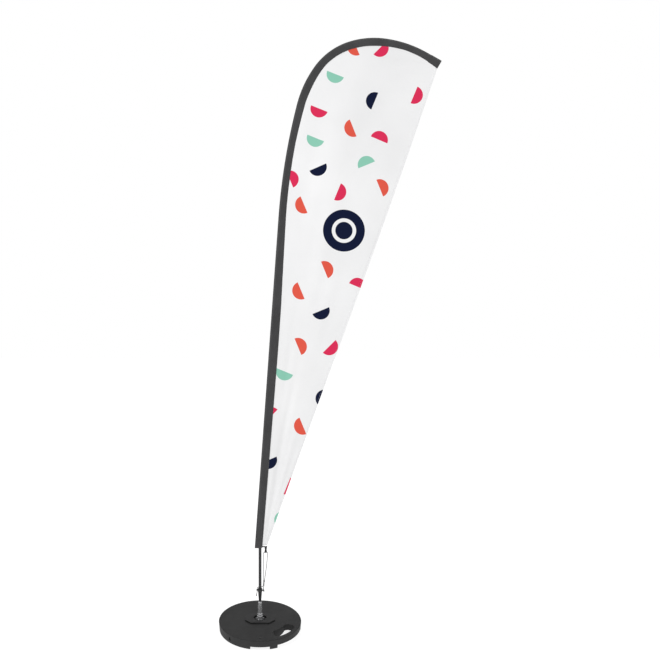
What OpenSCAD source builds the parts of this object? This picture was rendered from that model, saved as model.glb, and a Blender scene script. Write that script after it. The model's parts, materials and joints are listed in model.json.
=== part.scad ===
// Teardrop flag: a curved pole in a sleeved flag, on a rotating spindle in a round filled base.
// Frame: origin on the pole's axis at floor level, +Z up, flag in the XZ plane, printed face toward -Y.
// Millimetres and degrees.

/* [Base] */
// Diameter of the base
base_d = 450; // [370:5:560]
// Height of the base's rim above the floor
rim_h = 49; // [42:1:60]
// How far the top rises from the rim to the hub
dome_rise = 2; // [1:0.5:6]
// Gap between the floor and the underside, bridged by the feet
foot_h = 1.5; // [1:0.5:4]
// Wall of the hollow shell
shell_wall = 3.5; // [2.5:0.5:4.5]
// Radius of the rounded top edge
rim_r = 3; // [2:0.5:8]
// How much smaller the underside is than the rim, in radius
side_draft = 4; // [3:1:12]
// Radial width of the hand slot
slot_w = 58; // [45:1:60]
// Width of the grip bar outside the hand slot
grip_w = 22; // [18:1:26]
// Angle where the hand slot begins
slot_from = -66; // [-68:1:-60]
// Angle where the hand slot ends
slot_to = -20; // [-30:1:-20]
// Height of the finger arch under the grip
arch_h = 18; // [14:1:20]
// How far the finger arch reaches in under the hand slot's inner edge
arch_reach = 10; // [0:1:18]
// Width of the front notch
notch_w = 100; // [80:1:110]
// Height of the front notch
notch_h = 16; // [12:1:18]
// Depth of the front notch, inward from the rim
notch_depth = 45; // [30:1:50]
// Diameter of the filler plug
plug_d = 13; // [10:1:16]

/* [Hub] */
// Width of the raised hub block, left to right
hub_w = 160; // [130:1:180]
// Depth of the raised hub block, front to back
hub_depth = 106; // [96:1:130]
// Height of the hub block above the top of the dome
hub_h = 6; // [4:1:10]
// Chamfer at the hub block's corners
hub_chamfer = 30; // [15:1:40]
// Diameter of the well in the hub block
well_d = 72; // [66:0.2:88]
// Thickness of the hub plate
plate_t = 3; // [2:0.5:4]
// Diameter of the stud that screws into the base
stud_d = 16; // [12:1:18]

/* [Spindle] */
// Diameter of the spindle pin
pin_d = 10; // [8:0.5:11]
// Outer diameter of the ball bearings
bearing_od = 19; // [17:0.2:24]
// Width of a ball bearing
bearing_w = 5; // [4:0.5:7]
// Wall of the bearing housing round the bearings
housing_wall = 1.7; // [1.4:0.1:3]
// Height of the top of the collar nut above the floor
collar_top = 83; // [80:1:90]
// Length of the bearing housing above the collar nut
housing_len = 65; // [55:1:80]
// Length of the pin above the housing
pin_reach = 156; // [120:1:190]

/* [Pole] */
// Outer diameter of the lowest tube
tube_d = 16; // [15.5:0.1:20]
// Wall of the pole's tubes
tube_wall = 1.4; // [1.2:0.1:1.5]
// Length that each section slides into the one below
socket_len = 70; // [50:5:90]
// Height of the bare straight tube below the flag
bare_h = 265; // [240:5:300]
// Radius of the gentle bend above the bare tube
bend_r = 7000; // [6500:100:7500]
// Lean of the pole above that bend
lean = 4.1; // [3.5:0.1:4.5]
// Length of the straight leaning stretch
straight_len = 1310; // [1000:2:1600]
// Length of the straight end of the tip
tip_len = 86; // [76:1:130]

/* [Flag] */
// Room between the lowest tube and the sleeve, all round
sleeve_play = 3; // [2.5:0.1:5]
// Cloth thickness of the sleeve
sleeve_cloth = 1.2; // [0.8:0.1:1.3]
// Cloth thickness of the printed panel
panel_cloth = 1.2; // [0.8:0.1:2]
// Width of the hem along the free edge
hem_w = 11; // [8:1:16]
// Outward bow of the free edge
free_bow = 9; // [0:1:20]
// Height of the bottom edge of the panel above the floor
flag_bottom = 450; // [440:1:460]
// Length of the reinforced pocket at the tip of the sleeve
pocket_len = 62; // [40:1:80]

/* [Tensioner] */
// Height of the hook ring
ring_h = 16; // [12:1:18]
// Wall of the hook ring round the tube
ring_wall = 4.5; // [3.5:0.5:6]
// Diameter of the elastic cord
cord_d = 3.2; // [2.5:0.1:3.4]

/* [Hidden] */
$fn = 64;

// Colours
charcoal = "#35363a";
soft_black = "#1b1b1d";
sleeve_grey = "#3c3c3e";
concrete_grey = "#8f8c86";
chrome_silver = "#d8dadd";
steel_silver = "#a9adb2";
flag_white = "#eeeeef";
brass_yellow = "#c8a24a";
nylon_white = "#e6e3d8";

// Fits
run_fit = 0.05;      // radial, a shaft that turns or slides in a bore
loose_fit = 0.3;     // radial, parts that pass each other
cast_gap = 0.2;      // concrete to shell
cloth_gap = 0.2;     // one cloth piece laid over another
glue_gap = 0.02;     // radial, a band or cap glued on a rod
eps = 0.01;

// ---------- Base values ----------
base_r = base_d / 2;
base_h = rim_h + dome_rise;
rim_facets = 8;
underside_chamfer = 2;
slot_out_r = base_r - grip_w;
slot_in_r = slot_out_r - slot_w;
slot_end_r = 16;                 // rounding at the ends of the hand slot
groove_w = 10;
groove_depth = 8;
rim_slot_w = 14;
rim_slot_depth = 4;
rim_slot_h = 16;
rim_slot_angles = [-135, 135, 45];
foot_d = 24;
foot_sink = 2.5;
foot_ring_r = base_r - 29;
foot_angles = [22.5, 67.5, 112.5, 157.5, 202.5, 247.5];
inner_foot_r = slot_in_r - arch_reach - foot_d / 2 - 2 * shell_wall - 1;
inner_foot_angle = -45;
arch_to = slot_to + 14;          // the finger arch reaches on past the slot
plug_y = -(base_r - 32);
plug_head_t = 1.6;
plug_len = 8;

hub_top = base_h + hub_h;
well_floor = base_h - 5;
column_r = well_d / 2;                   // solid plastic round the insert
insert_d = 27;
insert_flange_d = 44;
insert_flange_t = 4;
insert_bottom = 6;
plate_top = well_floor + plate_t;
plate_d = well_d - 4;
plate_hole_d = 11;
plate_hole_x = plate_d / 2 - 10;
hub_screw_d = 4;
hub_screw_head_d = 7.5;
hub_screw_len = 13;
hub_screw_pcd = well_d - 18;
hub_screw_angles = [45, 135, 225, 315];
countersink_h = 1.6;
housing_d = bearing_od + 2 * housing_wall;
collar_neck_d = housing_d + 4.6;
hex_af = collar_neck_d + 3;
hex_h = 20;
washer_d = hex_af + 6;
washer_t = 2;
washer_top = plate_top + washer_t;

// ---------- Spindle values ----------
housing_top = collar_top + housing_len;
stud_bottom = insert_bottom + 8;
lower_bearing_z = collar_top + 6;
upper_bearing_z = housing_top - 10;
bearing_zs = [lower_bearing_z, upper_bearing_z];
bore_floor = collar_top + 1;
ball_d = (bearing_od - pin_d) * 4 / 15;
ball_count = 11;
ball_path_r = (pin_d + bearing_od) / 4;
race_r = ball_d / 2 + run_fit;
race_gap = ball_d * 4 / 3;                // between the inner and the outer ring, in diameter
inner_ring_od = 2 * ball_path_r - race_gap / 2;
outer_ring_id = 2 * ball_path_r + race_gap / 2;
seat_d = bearing_od - 3;
cage_w = race_gap / 2 - 2 * loose_fit;    // clears both rings by the loose fit
cage_t = 0.6;
circlip_t = 1;
circlip_z = upper_bearing_z + bearing_w + 0.2;
seal_t = 3;
shoulder_d = pin_d + 2;
flange_d = pin_d + 4;
flange_t = 1.5;
flange_z = housing_top + loose_fit;
clip_t = 0.9;
thrust_z = flange_z + flange_t;
thrust_t = 1;
pin_bottom = bore_floor + 1;
pin_top = housing_top + pin_reach;
pin_chamfer = 1.5;

// ---------- Pole values ----------
ferrule_z = thrust_z + thrust_t;
ferrule_cone_h = 40;
ferrule_tip_d = tube_d - 2.4;
ferrule_d = tube_d + 4.4;
tube_stand = 26;
pole_z = ferrule_z + tube_stand;          // the lower tube stands here, inside the ferrule
ferrule_top = ferrule_z + ferrule_cone_h + 6;
ferrule_plug_len = 50;
bush_len = 14;
section_d = [for (i = [0:3]) tube_d - i * 2 * (tube_wall + run_fit)];
collar_t = 0.8;
collar_len = 34;
band_len = 6;
band_t = 0.25;
cap_d = section_d[3] + 3.7;
cap_len = 20;
tip_gap = 22;                             // from the end of the rod to the end of the sleeve

// The pole's middle line, bottom to top: [radius, turn to the right], or [length, 0] where straight
route = [
    [bare_h, 0], [bend_r, lean], [straight_len, 0], [3500, 10.3], [610, 21.2],
    [360, 37.2], [445, 24.4], [625, 22.8], [tip_len, 0]
];
arc_step = 3;
long_step = 150;

function stretch_len(leg) = leg[1] == 0 ? leg[0] : leg[0] * leg[1] * PI / 180;
// A place on the route is [x, z, heading], with the heading measured from +Z toward +X
function along_leg(p, leg, t) = leg[1] == 0
    ? [p[0] + t * sin(p[2]), p[1] + t * cos(p[2]), p[2]]
    : let (b = p[2] + t / leg[0] * 180 / PI)
      [p[0] + leg[0] * (cos(p[2]) - cos(b)), p[1] + leg[0] * (sin(b) - sin(p[2])), b];
function leg_start(i) = i == 0 ? [0, pole_z, 0, 0] :
    let (q = leg_start(i - 1), len = stretch_len(route[i - 1]), e = along_leg(q, route[i - 1], len))
    [e[0], e[1], e[2], q[3] + len];
leg_starts = [for (i = [0:len(route)]) leg_start(i)];
route_len = leg_starts[len(route)][3];
function leg_at(s) = max([for (i = [0:len(route) - 1]) if (leg_starts[i][3] <= s) i]);
function pole_at(s) = let (i = leg_at(s)) along_leg(leg_starts[i], route[i], s - leg_starts[i][3]);
// Distances along the pole at which the lower three sections end
section_ends = [for (share = [0.244, 0.482, 0.715]) round(share * route_len)];

// ---------- Flag values ----------
edge_gap = tube_d / 2 + sleeve_play;      // from the pole's middle line to the sleeve's outer edge
sleeve_depth = tube_d + 2 * sleeve_play;
sleeve_drop = 11;                         // the sleeve hangs this far below the panel
bottom_skew = 5;                          // and its outer corner this much further
lean_s = leg_starts[2][3];                // from here on the sleeve follows the pole
sleeve_bottom_s = lean_s - (leg_starts[2][1] - flag_bottom + sleeve_drop) / cos(lean);
sleeve_end_s = route_len;
tip_s = route_len - tip_gap;
function sleeve_at(s) = s >= lean_s ? pole_at(s) :
    let (q = leg_starts[2]) [q[0] - (lean_s - s) * sin(lean), q[1] - (lean_s - s) * cos(lean), lean];
// Width of the sleeve along its length: the tube's width and the cloth left over beside it
function sleeve_w(s) = tube_d + lookup(s, [
    [260, 25], [700, 29], [1350, 34.5], [1600, 34], [2100, 26.5], [2500, 25], [2820, 31.5],
    [3000, 28.5], [3320, 30], [3480, 23.5], [route_len - tip_len, 25], [route_len, 32]
]);
// A point beside the sleeve's line: off is positive on the outer side
function beside(s, off) = let (q = sleeve_at(s)) [q[0] - off * cos(q[2]), q[1] + off * sin(q[2])];
function steps_of(leg) = max(ceil(stretch_len(leg) / long_step), ceil(leg[1] / arc_step));
stations = concat(
    [sleeve_bottom_s, lean_s],
    [for (i = [2:len(route) - 1]) for (k = [1:steps_of(route[i])])
        leg_starts[i][3] + stretch_len(route[i]) * k / steps_of(route[i])]
);
last_station = len(stations) - 1;
function outer_edge(inset) = [for (s = stations)
    beside(s == sleeve_bottom_s ? s - bottom_skew : s, edge_gap - inset)];
function inner_edge(inset) = [for (s = stations) beside(s, edge_gap - sleeve_w(s) + inset)];
function turned(points) = [for (i = [len(points) - 1:-1:0]) points[i]];

ring_d = tube_d + 2 * ring_wall;
knot_x = ring_d / 2 + 9.5;                // the elastic cord hangs round this line
tab_x = [knot_x + 3, knot_x + 15.5];
bottom_reach = tab_x[1] + 1.5;
free_top = beside(sleeve_end_s, edge_gap - sleeve_w(sleeve_end_s));
free_bottom = [bottom_reach, flag_bottom];
free_dir = (free_top - free_bottom) / norm(free_top - free_bottom);
free_out = [free_dir[1], -free_dir[0]];
free_steps = 14;
// The free edge bows outward most in its upper part; inset moves it inward
function free_edge(inset) = [for (k = [0:free_steps]) let (t = k / free_steps)
    free_bottom + t * (free_top - free_bottom) + (free_bow * sin(180 * t * t) - inset) * free_out];
hem_t = 2.4;
binding_h = 6;
binding_t = 3.4;
pocket_cloth = 1.2;

// ---------- Tensioner values ----------
ring_z = ferrule_top + 5;
ring_top = ring_z + ring_h;
lug_w = 5;
lug_reach = 9;
split_gap = 2;
pinch_d = 4;
pinch_head_d = 7;
pinch_head_t = 4;
pinch_nut_af = 7;
pinch_nut_t = 3.2;
pinch_y = ring_d / 2 + 6;
hook_t = 5;
hook_reach = ring_d / 2 + 11;
hook_z = ring_z + 4;
hook_lip = 7;
eyelet_x = -(ring_d / 2 + 3.5);
eyelet_d = 8;
eyelet_h = 6;
knot_d = 8;
knot_z = ring_z + 52;
knot_h = 7;
knot_top = knot_z + knot_h;
tail_knot_d = 6.5;
cord_r = cord_d / 2;
tab_t = 6;
tunnel_z = flag_bottom - 33;
tunnel_play = 0.2;
tab_bottom = tunnel_z - 5;
cord_sides = 8;

// Routes of the elastic cord's three stretches
// A point at x from the cord's line, at a share of the height from the knot to the tab's tunnel
function cord_point(x, share) = [knot_x + x, 0, knot_top + share * (tunnel_z - knot_top)];
cord_route = [
    cord_point(-1.8, 0), cord_point(-2, 0.1), cord_point(-2.3, 0.38), cord_point(-2.2, 0.7),
    [knot_x - 2, 0, tunnel_z - 8], [knot_x - 1.2, 0, tunnel_z - 3], [knot_x + 1, 0, tunnel_z],
    [knot_x + 9, 0, tunnel_z], [knot_x + 16, 0, tunnel_z], [knot_x + 18.4, 0, tunnel_z - 3],
    [knot_x + 19, 0, tunnel_z - 8], cord_point(17.2, 0.76), cord_point(14, 0.54),
    cord_point(9, 0.3), cord_point(5.2, 0.12), cord_point(1.8, 0)
];
hook_loop_x = hook_reach - 5.5;
hook_loop_r = hook_t / 2 + cord_r + 0.5;     // half circle under the hook
hook_loop_z = hook_z + 1.4;
hook_loop_route = concat(
    [[knot_x + 0.8, 2.2, knot_z], [knot_x + 0.2, 2.5, knot_z - 13]],
    [[knot_x - 1.7, 3.6, hook_loop_z + 17], [hook_loop_x + 0.2, hook_loop_r, hook_loop_z + 6]],
    [for (a = [0:30:180]) [hook_loop_x, hook_loop_r * cos(a), hook_loop_z - hook_loop_r * sin(a)]],
    [[hook_loop_x + 0.2, -hook_loop_r, hook_loop_z + 6], [knot_x - 1.7, -3.6, hook_loop_z + 17]],
    [[knot_x + 0.2, -2.5, knot_z - 13], [knot_x + 0.8, -2.2, knot_z]]
);
eye_z = ring_z + ring_h / 2;
wrap_r = tube_d / 2 + 5;                     // the tail goes round behind the tube to the eyelet
wrap_z = ring_top + 4;
tail_route = concat(
    [[knot_x - 2.3, 0, knot_z], [knot_x - 2.6, 1.2, knot_z - 8], [knot_x - 3.8, 4.4, knot_z - 20]],
    [[wrap_r + 2.2, 7.6, wrap_z + 4], [wrap_r - 2.5, 10.8, wrap_z + 0.6], [4, wrap_r - 0.2, wrap_z]],
    [[-3, wrap_r - 0.2, wrap_z - 0.4], [-9.5, 9.8, wrap_z - 0.8], [eyelet_x + 2, 5.2, wrap_z - 1.6]],
    [[eyelet_x + 0.2, 1.4, wrap_z - 4], [eyelet_x, 0.2, wrap_z - 8], [eyelet_x, 0, eye_z]],
    [[eyelet_x, 0, ring_z + 1], [eyelet_x - 0.5, 0, ring_z - 6], [eyelet_x - 2, 0, ring_z - 12]],
    [[eyelet_x - 4, 0, ring_z - 18]]
);

// ---------- Helpers ----------
// Draws the flat shape of the XZ plane, centred on Y = 0, t thick
module upright(t) {
    rotate([90, 0, 0]) translate([0, 0, -t / 2]) linear_extrude(t) children();
}
module ring(z, h, d_out, d_in) {
    translate([0, 0, z]) difference() {
        cylinder(h = h, d = d_out);
        translate([0, 0, -1]) cylinder(h = h + 2, d = d_in);
    }
}
module at_angles(angles, r) {
    for (a = angles) rotate([0, 0, a]) translate([r, 0, 0]) children();
}

function unit(v) = v / norm(v);
function tangent(points, i) =
    unit(points[min(i + 1, len(points) - 1)] - points[max(i - 1, 0)]);
// A direction across each point of a route, carried along it without twist
function across(dirs, i) = let (before = i == 0 ? [0, 1, 0] : across(dirs, i - 1))
    unit(before - (before * dirs[i]) * dirs[i]);
// A round cord along points, its two ends cut level
module cord(points) {
    n = len(points);
    dirs = [for (i = [0:n - 1]) i == 0 || i == n - 1
        ? [0, 0, tangent(points, i)[2] < 0 ? -1 : 1] : tangent(points, i)];
    rings = [for (i = [0:n - 1]) let (u = across(dirs, i), v = cross(dirs[i], u))
        for (k = [0:cord_sides - 1]) let (a = 360 * k / cord_sides)
            points[i] + cord_r * (cos(a) * u + sin(a) * v)];
    walls = [for (i = [0:n - 2]) for (k = [0:cord_sides - 1]) let (m = (k + 1) % cord_sides)
        [i * cord_sides + k, (i + 1) * cord_sides + k, (i + 1) * cord_sides + m, i * cord_sides + m]];
    first = [for (k = [0:cord_sides - 1]) k];
    last = [for (k = [cord_sides - 1:-1:0]) (n - 1) * cord_sides + k];
    polyhedron(rings, concat([first], walls, [last]), convexity = 6);
}

// ---------- Base ----------
function form_profile(inset) = let (
        r = base_r - inset, low_r = r - side_draft, low = foot_h + inset, top = rim_h - inset,
        round = max(rim_r - inset, 1))
    concat(
        [[0, low], [low_r - underside_chamfer, low], [low_r, low + underside_chamfer]],
        [for (k = [0:rim_facets]) let (a = 90 * k / rim_facets)
            [r - round + round * cos(a), top - round + round * sin(a)]],
        [[column_r, base_h - inset], [0, base_h - inset]]
    );
module slot_outline(grow) {
    steps = 16;
    r_in = slot_in_r - grow;
    r_out = slot_out_r + grow;
    more = grow / slot_in_r * 180 / PI;
    end_turn = slot_end_r / slot_in_r * 180 / PI;
    from = slot_from - more;
    to = slot_to + more;
    function polar(r, a) = [r * cos(a), r * sin(a)];
    polygon(concat(
        [for (k = [0:steps]) polar(r_out, from + end_turn + (to - from - 2 * end_turn) * k / steps)],
        [polar(r_out - slot_end_r / 3, to - end_turn / 3), polar(r_out - slot_end_r, to)],
        [polar(r_in + slot_end_r, to), polar(r_in + slot_end_r / 3, to - end_turn / 3)],
        [for (k = [steps:-1:0]) polar(r_in, from + end_turn + (to - from - 2 * end_turn) * k / steps)],
        [polar(r_in + slot_end_r / 3, from + end_turn / 3), polar(r_in + slot_end_r, from)],
        [polar(r_out - slot_end_r, from), polar(r_out - slot_end_r / 3, from + end_turn / 3)]
    ));
}
module arch_outline(grow) {
    reach = 2 * base_r;
    widen = grow / slot_in_r * 180 / PI;
    from = slot_from - widen;
    to = arch_to + widen;
    mid = (from + to) / 2;
    difference() {
        polygon(concat([[0, 0]], [for (a = [from, mid, to]) reach * [cos(a), sin(a)]]));
        circle(r = slot_in_r - arch_reach - grow, $fn = 96);
    }
}
// The outside of the filled base, shrunk by inset on every face
module base_form(inset) {
    difference() {
        rotate_extrude($fn = 128) polygon(form_profile(inset));
        linear_extrude(2 * base_h) slot_outline(inset);
        linear_extrude(arch_h + inset) arch_outline(inset);
        translate([-notch_w / 2 - inset, -2 * base_r, -1])
            cube([notch_w + 2 * inset, base_r + notch_depth + inset, notch_h + inset + 1]);
        at_angles([0, 180], base_r - groove_depth - inset) translate([0, -groove_w / 2 - inset, -1])
            cube([2 * groove_depth + inset, groove_w + 2 * inset, 2 * base_h]);
        at_angles(rim_slot_angles, base_r - side_draft / 2 - rim_slot_depth - inset)
            translate([0, -rim_slot_w / 2 - inset, (rim_h - rim_slot_h) / 2 - inset])
            cube([2 * rim_slot_depth + inset, rim_slot_w + 2 * inset, rim_slot_h + 2 * inset]);
    }
}
// The space inside the shell's walls, for the shell itself or, with more play, for its filling
module filling_form(play) {
    difference() {
        base_form(shell_wall + play);
        cylinder(r = column_r + play, h = 2 * base_h);
        feet_places() translate([0, 0, -1])
            cylinder(d = foot_d + 2 * (shell_wall + play), h = foot_h + foot_sink + shell_wall + play + 1);
        translate([0, plug_y, base_h - shell_wall - plug_len - play])
            cylinder(d = plug_d + 2 * play + 1, h = 2 * plug_len);
    }
}
module plug_socket() {
    translate([0, plug_y, rim_h - plug_len]) cylinder(d = plug_d, h = 2 * plug_len);
}
module feet_places() {
    at_angles(foot_angles, foot_ring_r) children();
    at_angles([inner_foot_angle], inner_foot_r) children();
}
module hub_block() {
    x = hub_w / 2;
    y = hub_depth / 2;
    c = hub_chamfer;
    translate([0, 0, rim_h - shell_wall + 1]) linear_extrude(hub_top - rim_h + shell_wall - 1)
        polygon([
            [-x, -y + c], [-x + c, -y], [x - c, -y], [x, -y + c],
            [x, y - c], [x - c, y], [-x + c, y], [-x, y - c]
        ]);
}
module base_shell() {
    color(charcoal) difference() {
        union() {
            base_form(0);
            hub_block();
        }
        filling_form(0);
        translate([0, 0, well_floor]) cylinder(d = well_d, h = hub_top);
        translate([0, 0, -1])
            cylinder(d = insert_flange_d + 2 * run_fit, h = insert_bottom + insert_flange_t + 1);
        cylinder(d = insert_d, h = 2 * base_h);
        at_angles(hub_screw_angles, hub_screw_pcd / 2) translate([0, 0, plate_top - hub_screw_len])
            cylinder(d = hub_screw_d, h = hub_screw_len, $fn = 24);
        feet_places() translate([0, 0, -1]) cylinder(d = foot_d, h = foot_h + foot_sink + 1);
        plug_socket();
    }
}
module concrete_fill() {
    color(concrete_grey) filling_form(cast_gap);
}
module filler_plug() {
    color(soft_black) translate([0, plug_y, rim_h - plug_len + loose_fit]) union() {
        cylinder(d = plug_d - 0.1, h = plug_len);
        translate([0, 0, plug_len]) cylinder(d = plug_d - 3, h = plug_head_t);
    }
}
module rubber_feet() {
    color(soft_black) feet_places() union() {
        cylinder(d1 = foot_d - 3, d2 = foot_d - 2, h = foot_h);
        translate([0, 0, foot_h]) cylinder(d = foot_d, h = foot_sink);
    }
}

// Covers the insert's flange and stands on the floor with the feet
module centre_pad() {
    color(soft_black) cylinder(d = insert_flange_d, h = insert_bottom);
}

// ---------- Hub ----------
module hub_insert() {
    color(steel_silver) difference() {
        union() {
            translate([0, 0, insert_bottom]) cylinder(d = insert_flange_d, h = insert_flange_t);
            translate([0, 0, insert_bottom]) cylinder(d = insert_d, h = well_floor - insert_bottom);
        }
        translate([0, 0, -1]) cylinder(d = stud_d, h = 2 * base_h);
    }
}
module hub_plate() {
    color(soft_black) difference() {
        translate([0, 0, well_floor]) cylinder(d = plate_d, h = plate_t);
        cylinder(d = stud_d + 2 * loose_fit, h = 2 * base_h);
        for (x = [-plate_hole_x, plate_hole_x])
            translate([x, 0, 0]) cylinder(d = plate_hole_d, h = 2 * base_h);
        at_angles(hub_screw_angles, hub_screw_pcd / 2) {
            cylinder(d = hub_screw_d, h = 2 * base_h, $fn = 24);
            hub_screw_head();
        }
    }
}
// A countersunk head, level with the plate; the plate's sinks have the same shape
module hub_screw_head() {
    translate([0, 0, plate_top - countersink_h])
        cylinder(d1 = hub_screw_d, d2 = hub_screw_head_d, h = countersink_h, $fn = 24);
}
module hub_screws() {
    cross_l = 3.6;
    cross_w = 0.8;
    color(steel_silver) at_angles(hub_screw_angles, hub_screw_pcd / 2) difference() {
        union() {
            translate([0, 0, plate_top - hub_screw_len])
                cylinder(d = hub_screw_d, h = hub_screw_len - 1, $fn = 24);
            hub_screw_head();
        }
        for (a = [0, 90]) rotate([0, 0, a]) translate([-cross_l / 2, -cross_w / 2, plate_top - 1])
            cube([cross_l, cross_w, 2]);
    }
}
module hub_washer() {
    color(soft_black) ring(plate_top, washer_t, washer_d, stud_d + 2 * loose_fit);
}
module collar_nut() {
    neck_z = washer_top + hex_h;
    color(chrome_silver) difference() {
        union() {
            intersection() {
                translate([0, 0, washer_top]) cylinder(d = hex_af / cos(30), h = hex_h, $fn = 6);
                translate([0, 0, washer_top]) cylinder(d1 = hex_af * 1.06, d2 = hex_af * 1.12, h = hex_h);
            }
            translate([0, 0, neck_z]) cylinder(d = collar_neck_d, h = collar_top - neck_z - 2);
            translate([0, 0, collar_top - 2]) cylinder(d1 = collar_neck_d, d2 = collar_neck_d - 2, h = 2);
        }
        cylinder(d = stud_d, h = 2 * collar_top);
    }
}

// ---------- Bearing housing, fixed to the base ----------
module bearing_housing() {
    color(chrome_silver) difference() {
        union() {
            translate([0, 0, stud_bottom]) cylinder(d = stud_d, h = collar_top - stud_bottom + 1);
            translate([0, 0, collar_top]) cylinder(d = housing_d, h = housing_len);
        }
        translate([0, 0, bore_floor]) cylinder(d = seat_d, h = housing_len);
        translate([0, 0, lower_bearing_z]) cylinder(d = bearing_od, h = housing_len);
        translate([0, 0, circlip_z]) cylinder(d = bearing_od + 1.4, h = circlip_t);
    }
}
// A ring of each bearing, between two radii, with the groove that the balls run in
module grooved_rings(r_in, r_out) {
    for (z = bearing_zs) translate([0, 0, z + bearing_w / 2]) rotate_extrude() difference() {
        translate([r_in, -bearing_w / 2]) square([r_out - r_in, bearing_w]);
        translate([ball_path_r, 0]) circle(r = race_r, $fn = 32);
    }
}
module bearing_outer_rings() {
    color(steel_silver) grooved_rings(outer_ring_id / 2, bearing_od / 2);
}
module housing_circlip() {
    color(steel_silver) difference() {
        ring(circlip_z, circlip_t, bearing_od + 1.2, bearing_od - 2);
        translate([0, -2, circlip_z - 1]) cube([bearing_od, 4, circlip_t + 2]);
    }
}
module dust_seal() {
    color(soft_black) ring(housing_top - seal_t, seal_t, bearing_od, shoulder_d + 2 * run_fit);
}

// ---------- Balls and cages, which follow the pin at part speed ----------
module bearing_balls() {
    ball_angles = [for (k = [0:ball_count - 1]) 360 * k / ball_count];
    color(steel_silver) for (z = bearing_zs) translate([0, 0, z + bearing_w / 2])
        at_angles(ball_angles, ball_path_r) sphere(d = ball_d, $fn = 24);
}
module bearing_cages() {
    mid_d = 2 * ball_path_r;
    color(brass_yellow) for (z = bearing_zs)
        ring(z + bearing_w / 2 + ball_d / 2 + 0.1, cage_t, mid_d + cage_w, mid_d - cage_w);
}

// ---------- Spindle pin and what turns with it ----------
module spindle_pin() {
    shoulder_z = upper_bearing_z + bearing_w;
    color(steel_silver) difference() {
        union() {
            translate([0, 0, pin_bottom]) cylinder(d = pin_d, h = pin_top - pin_bottom - pin_chamfer);
            translate([0, 0, pin_top - pin_chamfer])
                cylinder(d1 = pin_d, d2 = pin_d - 2 * pin_chamfer, h = pin_chamfer);
            translate([0, 0, shoulder_z]) cylinder(d = shoulder_d, h = flange_z - shoulder_z);
            translate([0, 0, flange_z]) cylinder(d = flange_d, h = flange_t);
        }
        ring(lower_bearing_z - clip_t, clip_t, pin_d + 2, pin_d - 1.6);
    }
}
module bearing_inner_rings() {
    color(steel_silver) grooved_rings(pin_d / 2, inner_ring_od / 2);
}
module bearing_spacer() {
    z = lower_bearing_z + bearing_w;
    color(steel_silver) ring(z, upper_bearing_z - z, pin_d + 2, pin_d);
}
module pin_clip() {
    z = lower_bearing_z - clip_t;
    color(steel_silver) difference() {
        ring(z, clip_t, pin_d + 3, pin_d - 1.6);
        translate([0, -2.5, z - 1]) cube([pin_d, 5, clip_t + 2]);
    }
}
module thrust_washer() {
    color(soft_black) ring(thrust_z, thrust_t, ferrule_tip_d - 0.6, pin_d + 2 * run_fit);
}

// ---------- Pole ----------
module pole_end_ferrule() {
    cone_top = ferrule_z + ferrule_cone_h;
    plug_d = section_d[0] - 2 * tube_wall;
    color(soft_black) difference() {
        union() {
            translate([0, 0, ferrule_z]) cylinder(d1 = ferrule_tip_d, d2 = ferrule_d, h = ferrule_cone_h);
            translate([0, 0, cone_top]) cylinder(d = ferrule_d, h = ferrule_top - cone_top);
        }
        translate([0, 0, pole_z]) ring(0, ferrule_top, tube_d, plug_d);
        translate([0, 0, ferrule_top - 1]) ring(0, 2, tube_d + 1, tube_d - 1);
        translate([0, 0, ferrule_z - 1]) cylinder(d = pin_d + 2 * run_fit, h = 2 * ferrule_top);
    }
    color(soft_black) translate([0, 0, ferrule_top]) ring(0, ferrule_plug_len, plug_d, pin_d + 2 * run_fit);
}
module pin_guide_bush() {
    color(nylon_white)
        ring(pin_top - bush_len - 4, bush_len, section_d[0] - 2 * tube_wall, pin_d + 2 * run_fit);
}
// One leg of the route as a solid round bar of diameter d, from t0 to t1 along it
module leg_bar(i, t0, t1, d) {
    q = along_leg(leg_starts[i], route[i], t0);
    turn = route[i][1] == 0 ? 0 : (t1 - t0) / route[i][0] * 180 / PI;
    if (turn == 0) {
        translate([q[0], 0, q[1]]) rotate([0, q[2], 0]) cylinder(d = d, h = t1 - t0, $fn = 32);
    } else {
        r = route[i][0];
        translate([q[0] + r * cos(q[2]), 0, q[1] - r * sin(q[2])]) rotate([90, 0, 0])
            rotate_extrude(start = 180 - q[2] - turn, angle = turn, $fn = 360)
            translate([r, 0]) circle(d = d, $fn = 32);
    }
}
// The stretch of the pole from s0 to s1, with a low band over each change of curve
module pole_bar(s0, s1, d) {
    for (i = [0:len(route) - 1]) {
        q = leg_starts[i];
        a = max(s0, q[3]);
        b = min(s1, leg_starts[i + 1][3]);
        if (b > a + eps) leg_bar(i, a - q[3], b - q[3], d);
        if (q[3] > s0 + band_len && q[3] < s1 - band_len)
            translate([q[0], 0, q[1]]) rotate([0, q[2], 0])
            cylinder(d = d + 2 * band_t, h = band_len, center = true, $fn = 32);
    }
}
module pole_tube(s0, s1, d) {
    difference() {
        pole_bar(s0, s1, d);
        pole_bar(s0, s1, d - 2 * tube_wall);
    }
}
module pole_lower_tube() {
    color(soft_black) pole_tube(0, section_ends[0], section_d[0]);
}
module pole_second_tube() {
    color(soft_black) pole_tube(section_ends[0] - socket_len, section_ends[1], section_d[1]);
}
module pole_third_tube() {
    color(soft_black) pole_tube(section_ends[1] - socket_len, section_ends[2], section_d[2]);
}
module pole_tip_rod() {
    color(soft_black) pole_bar(section_ends[2] - socket_len, tip_s, section_d[3]);
}
module joint_collar(i) {
    color(steel_silver) difference() {
        pole_bar(section_ends[i] - collar_len, section_ends[i], section_d[i] + 2 * collar_t);
        pole_bar(section_ends[i] - collar_len, section_ends[i], section_d[i] + 2 * glue_gap);
    }
}
module joint_collar_lower() {
    joint_collar(0);
}
module joint_collar_middle() {
    joint_collar(1);
}
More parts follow.
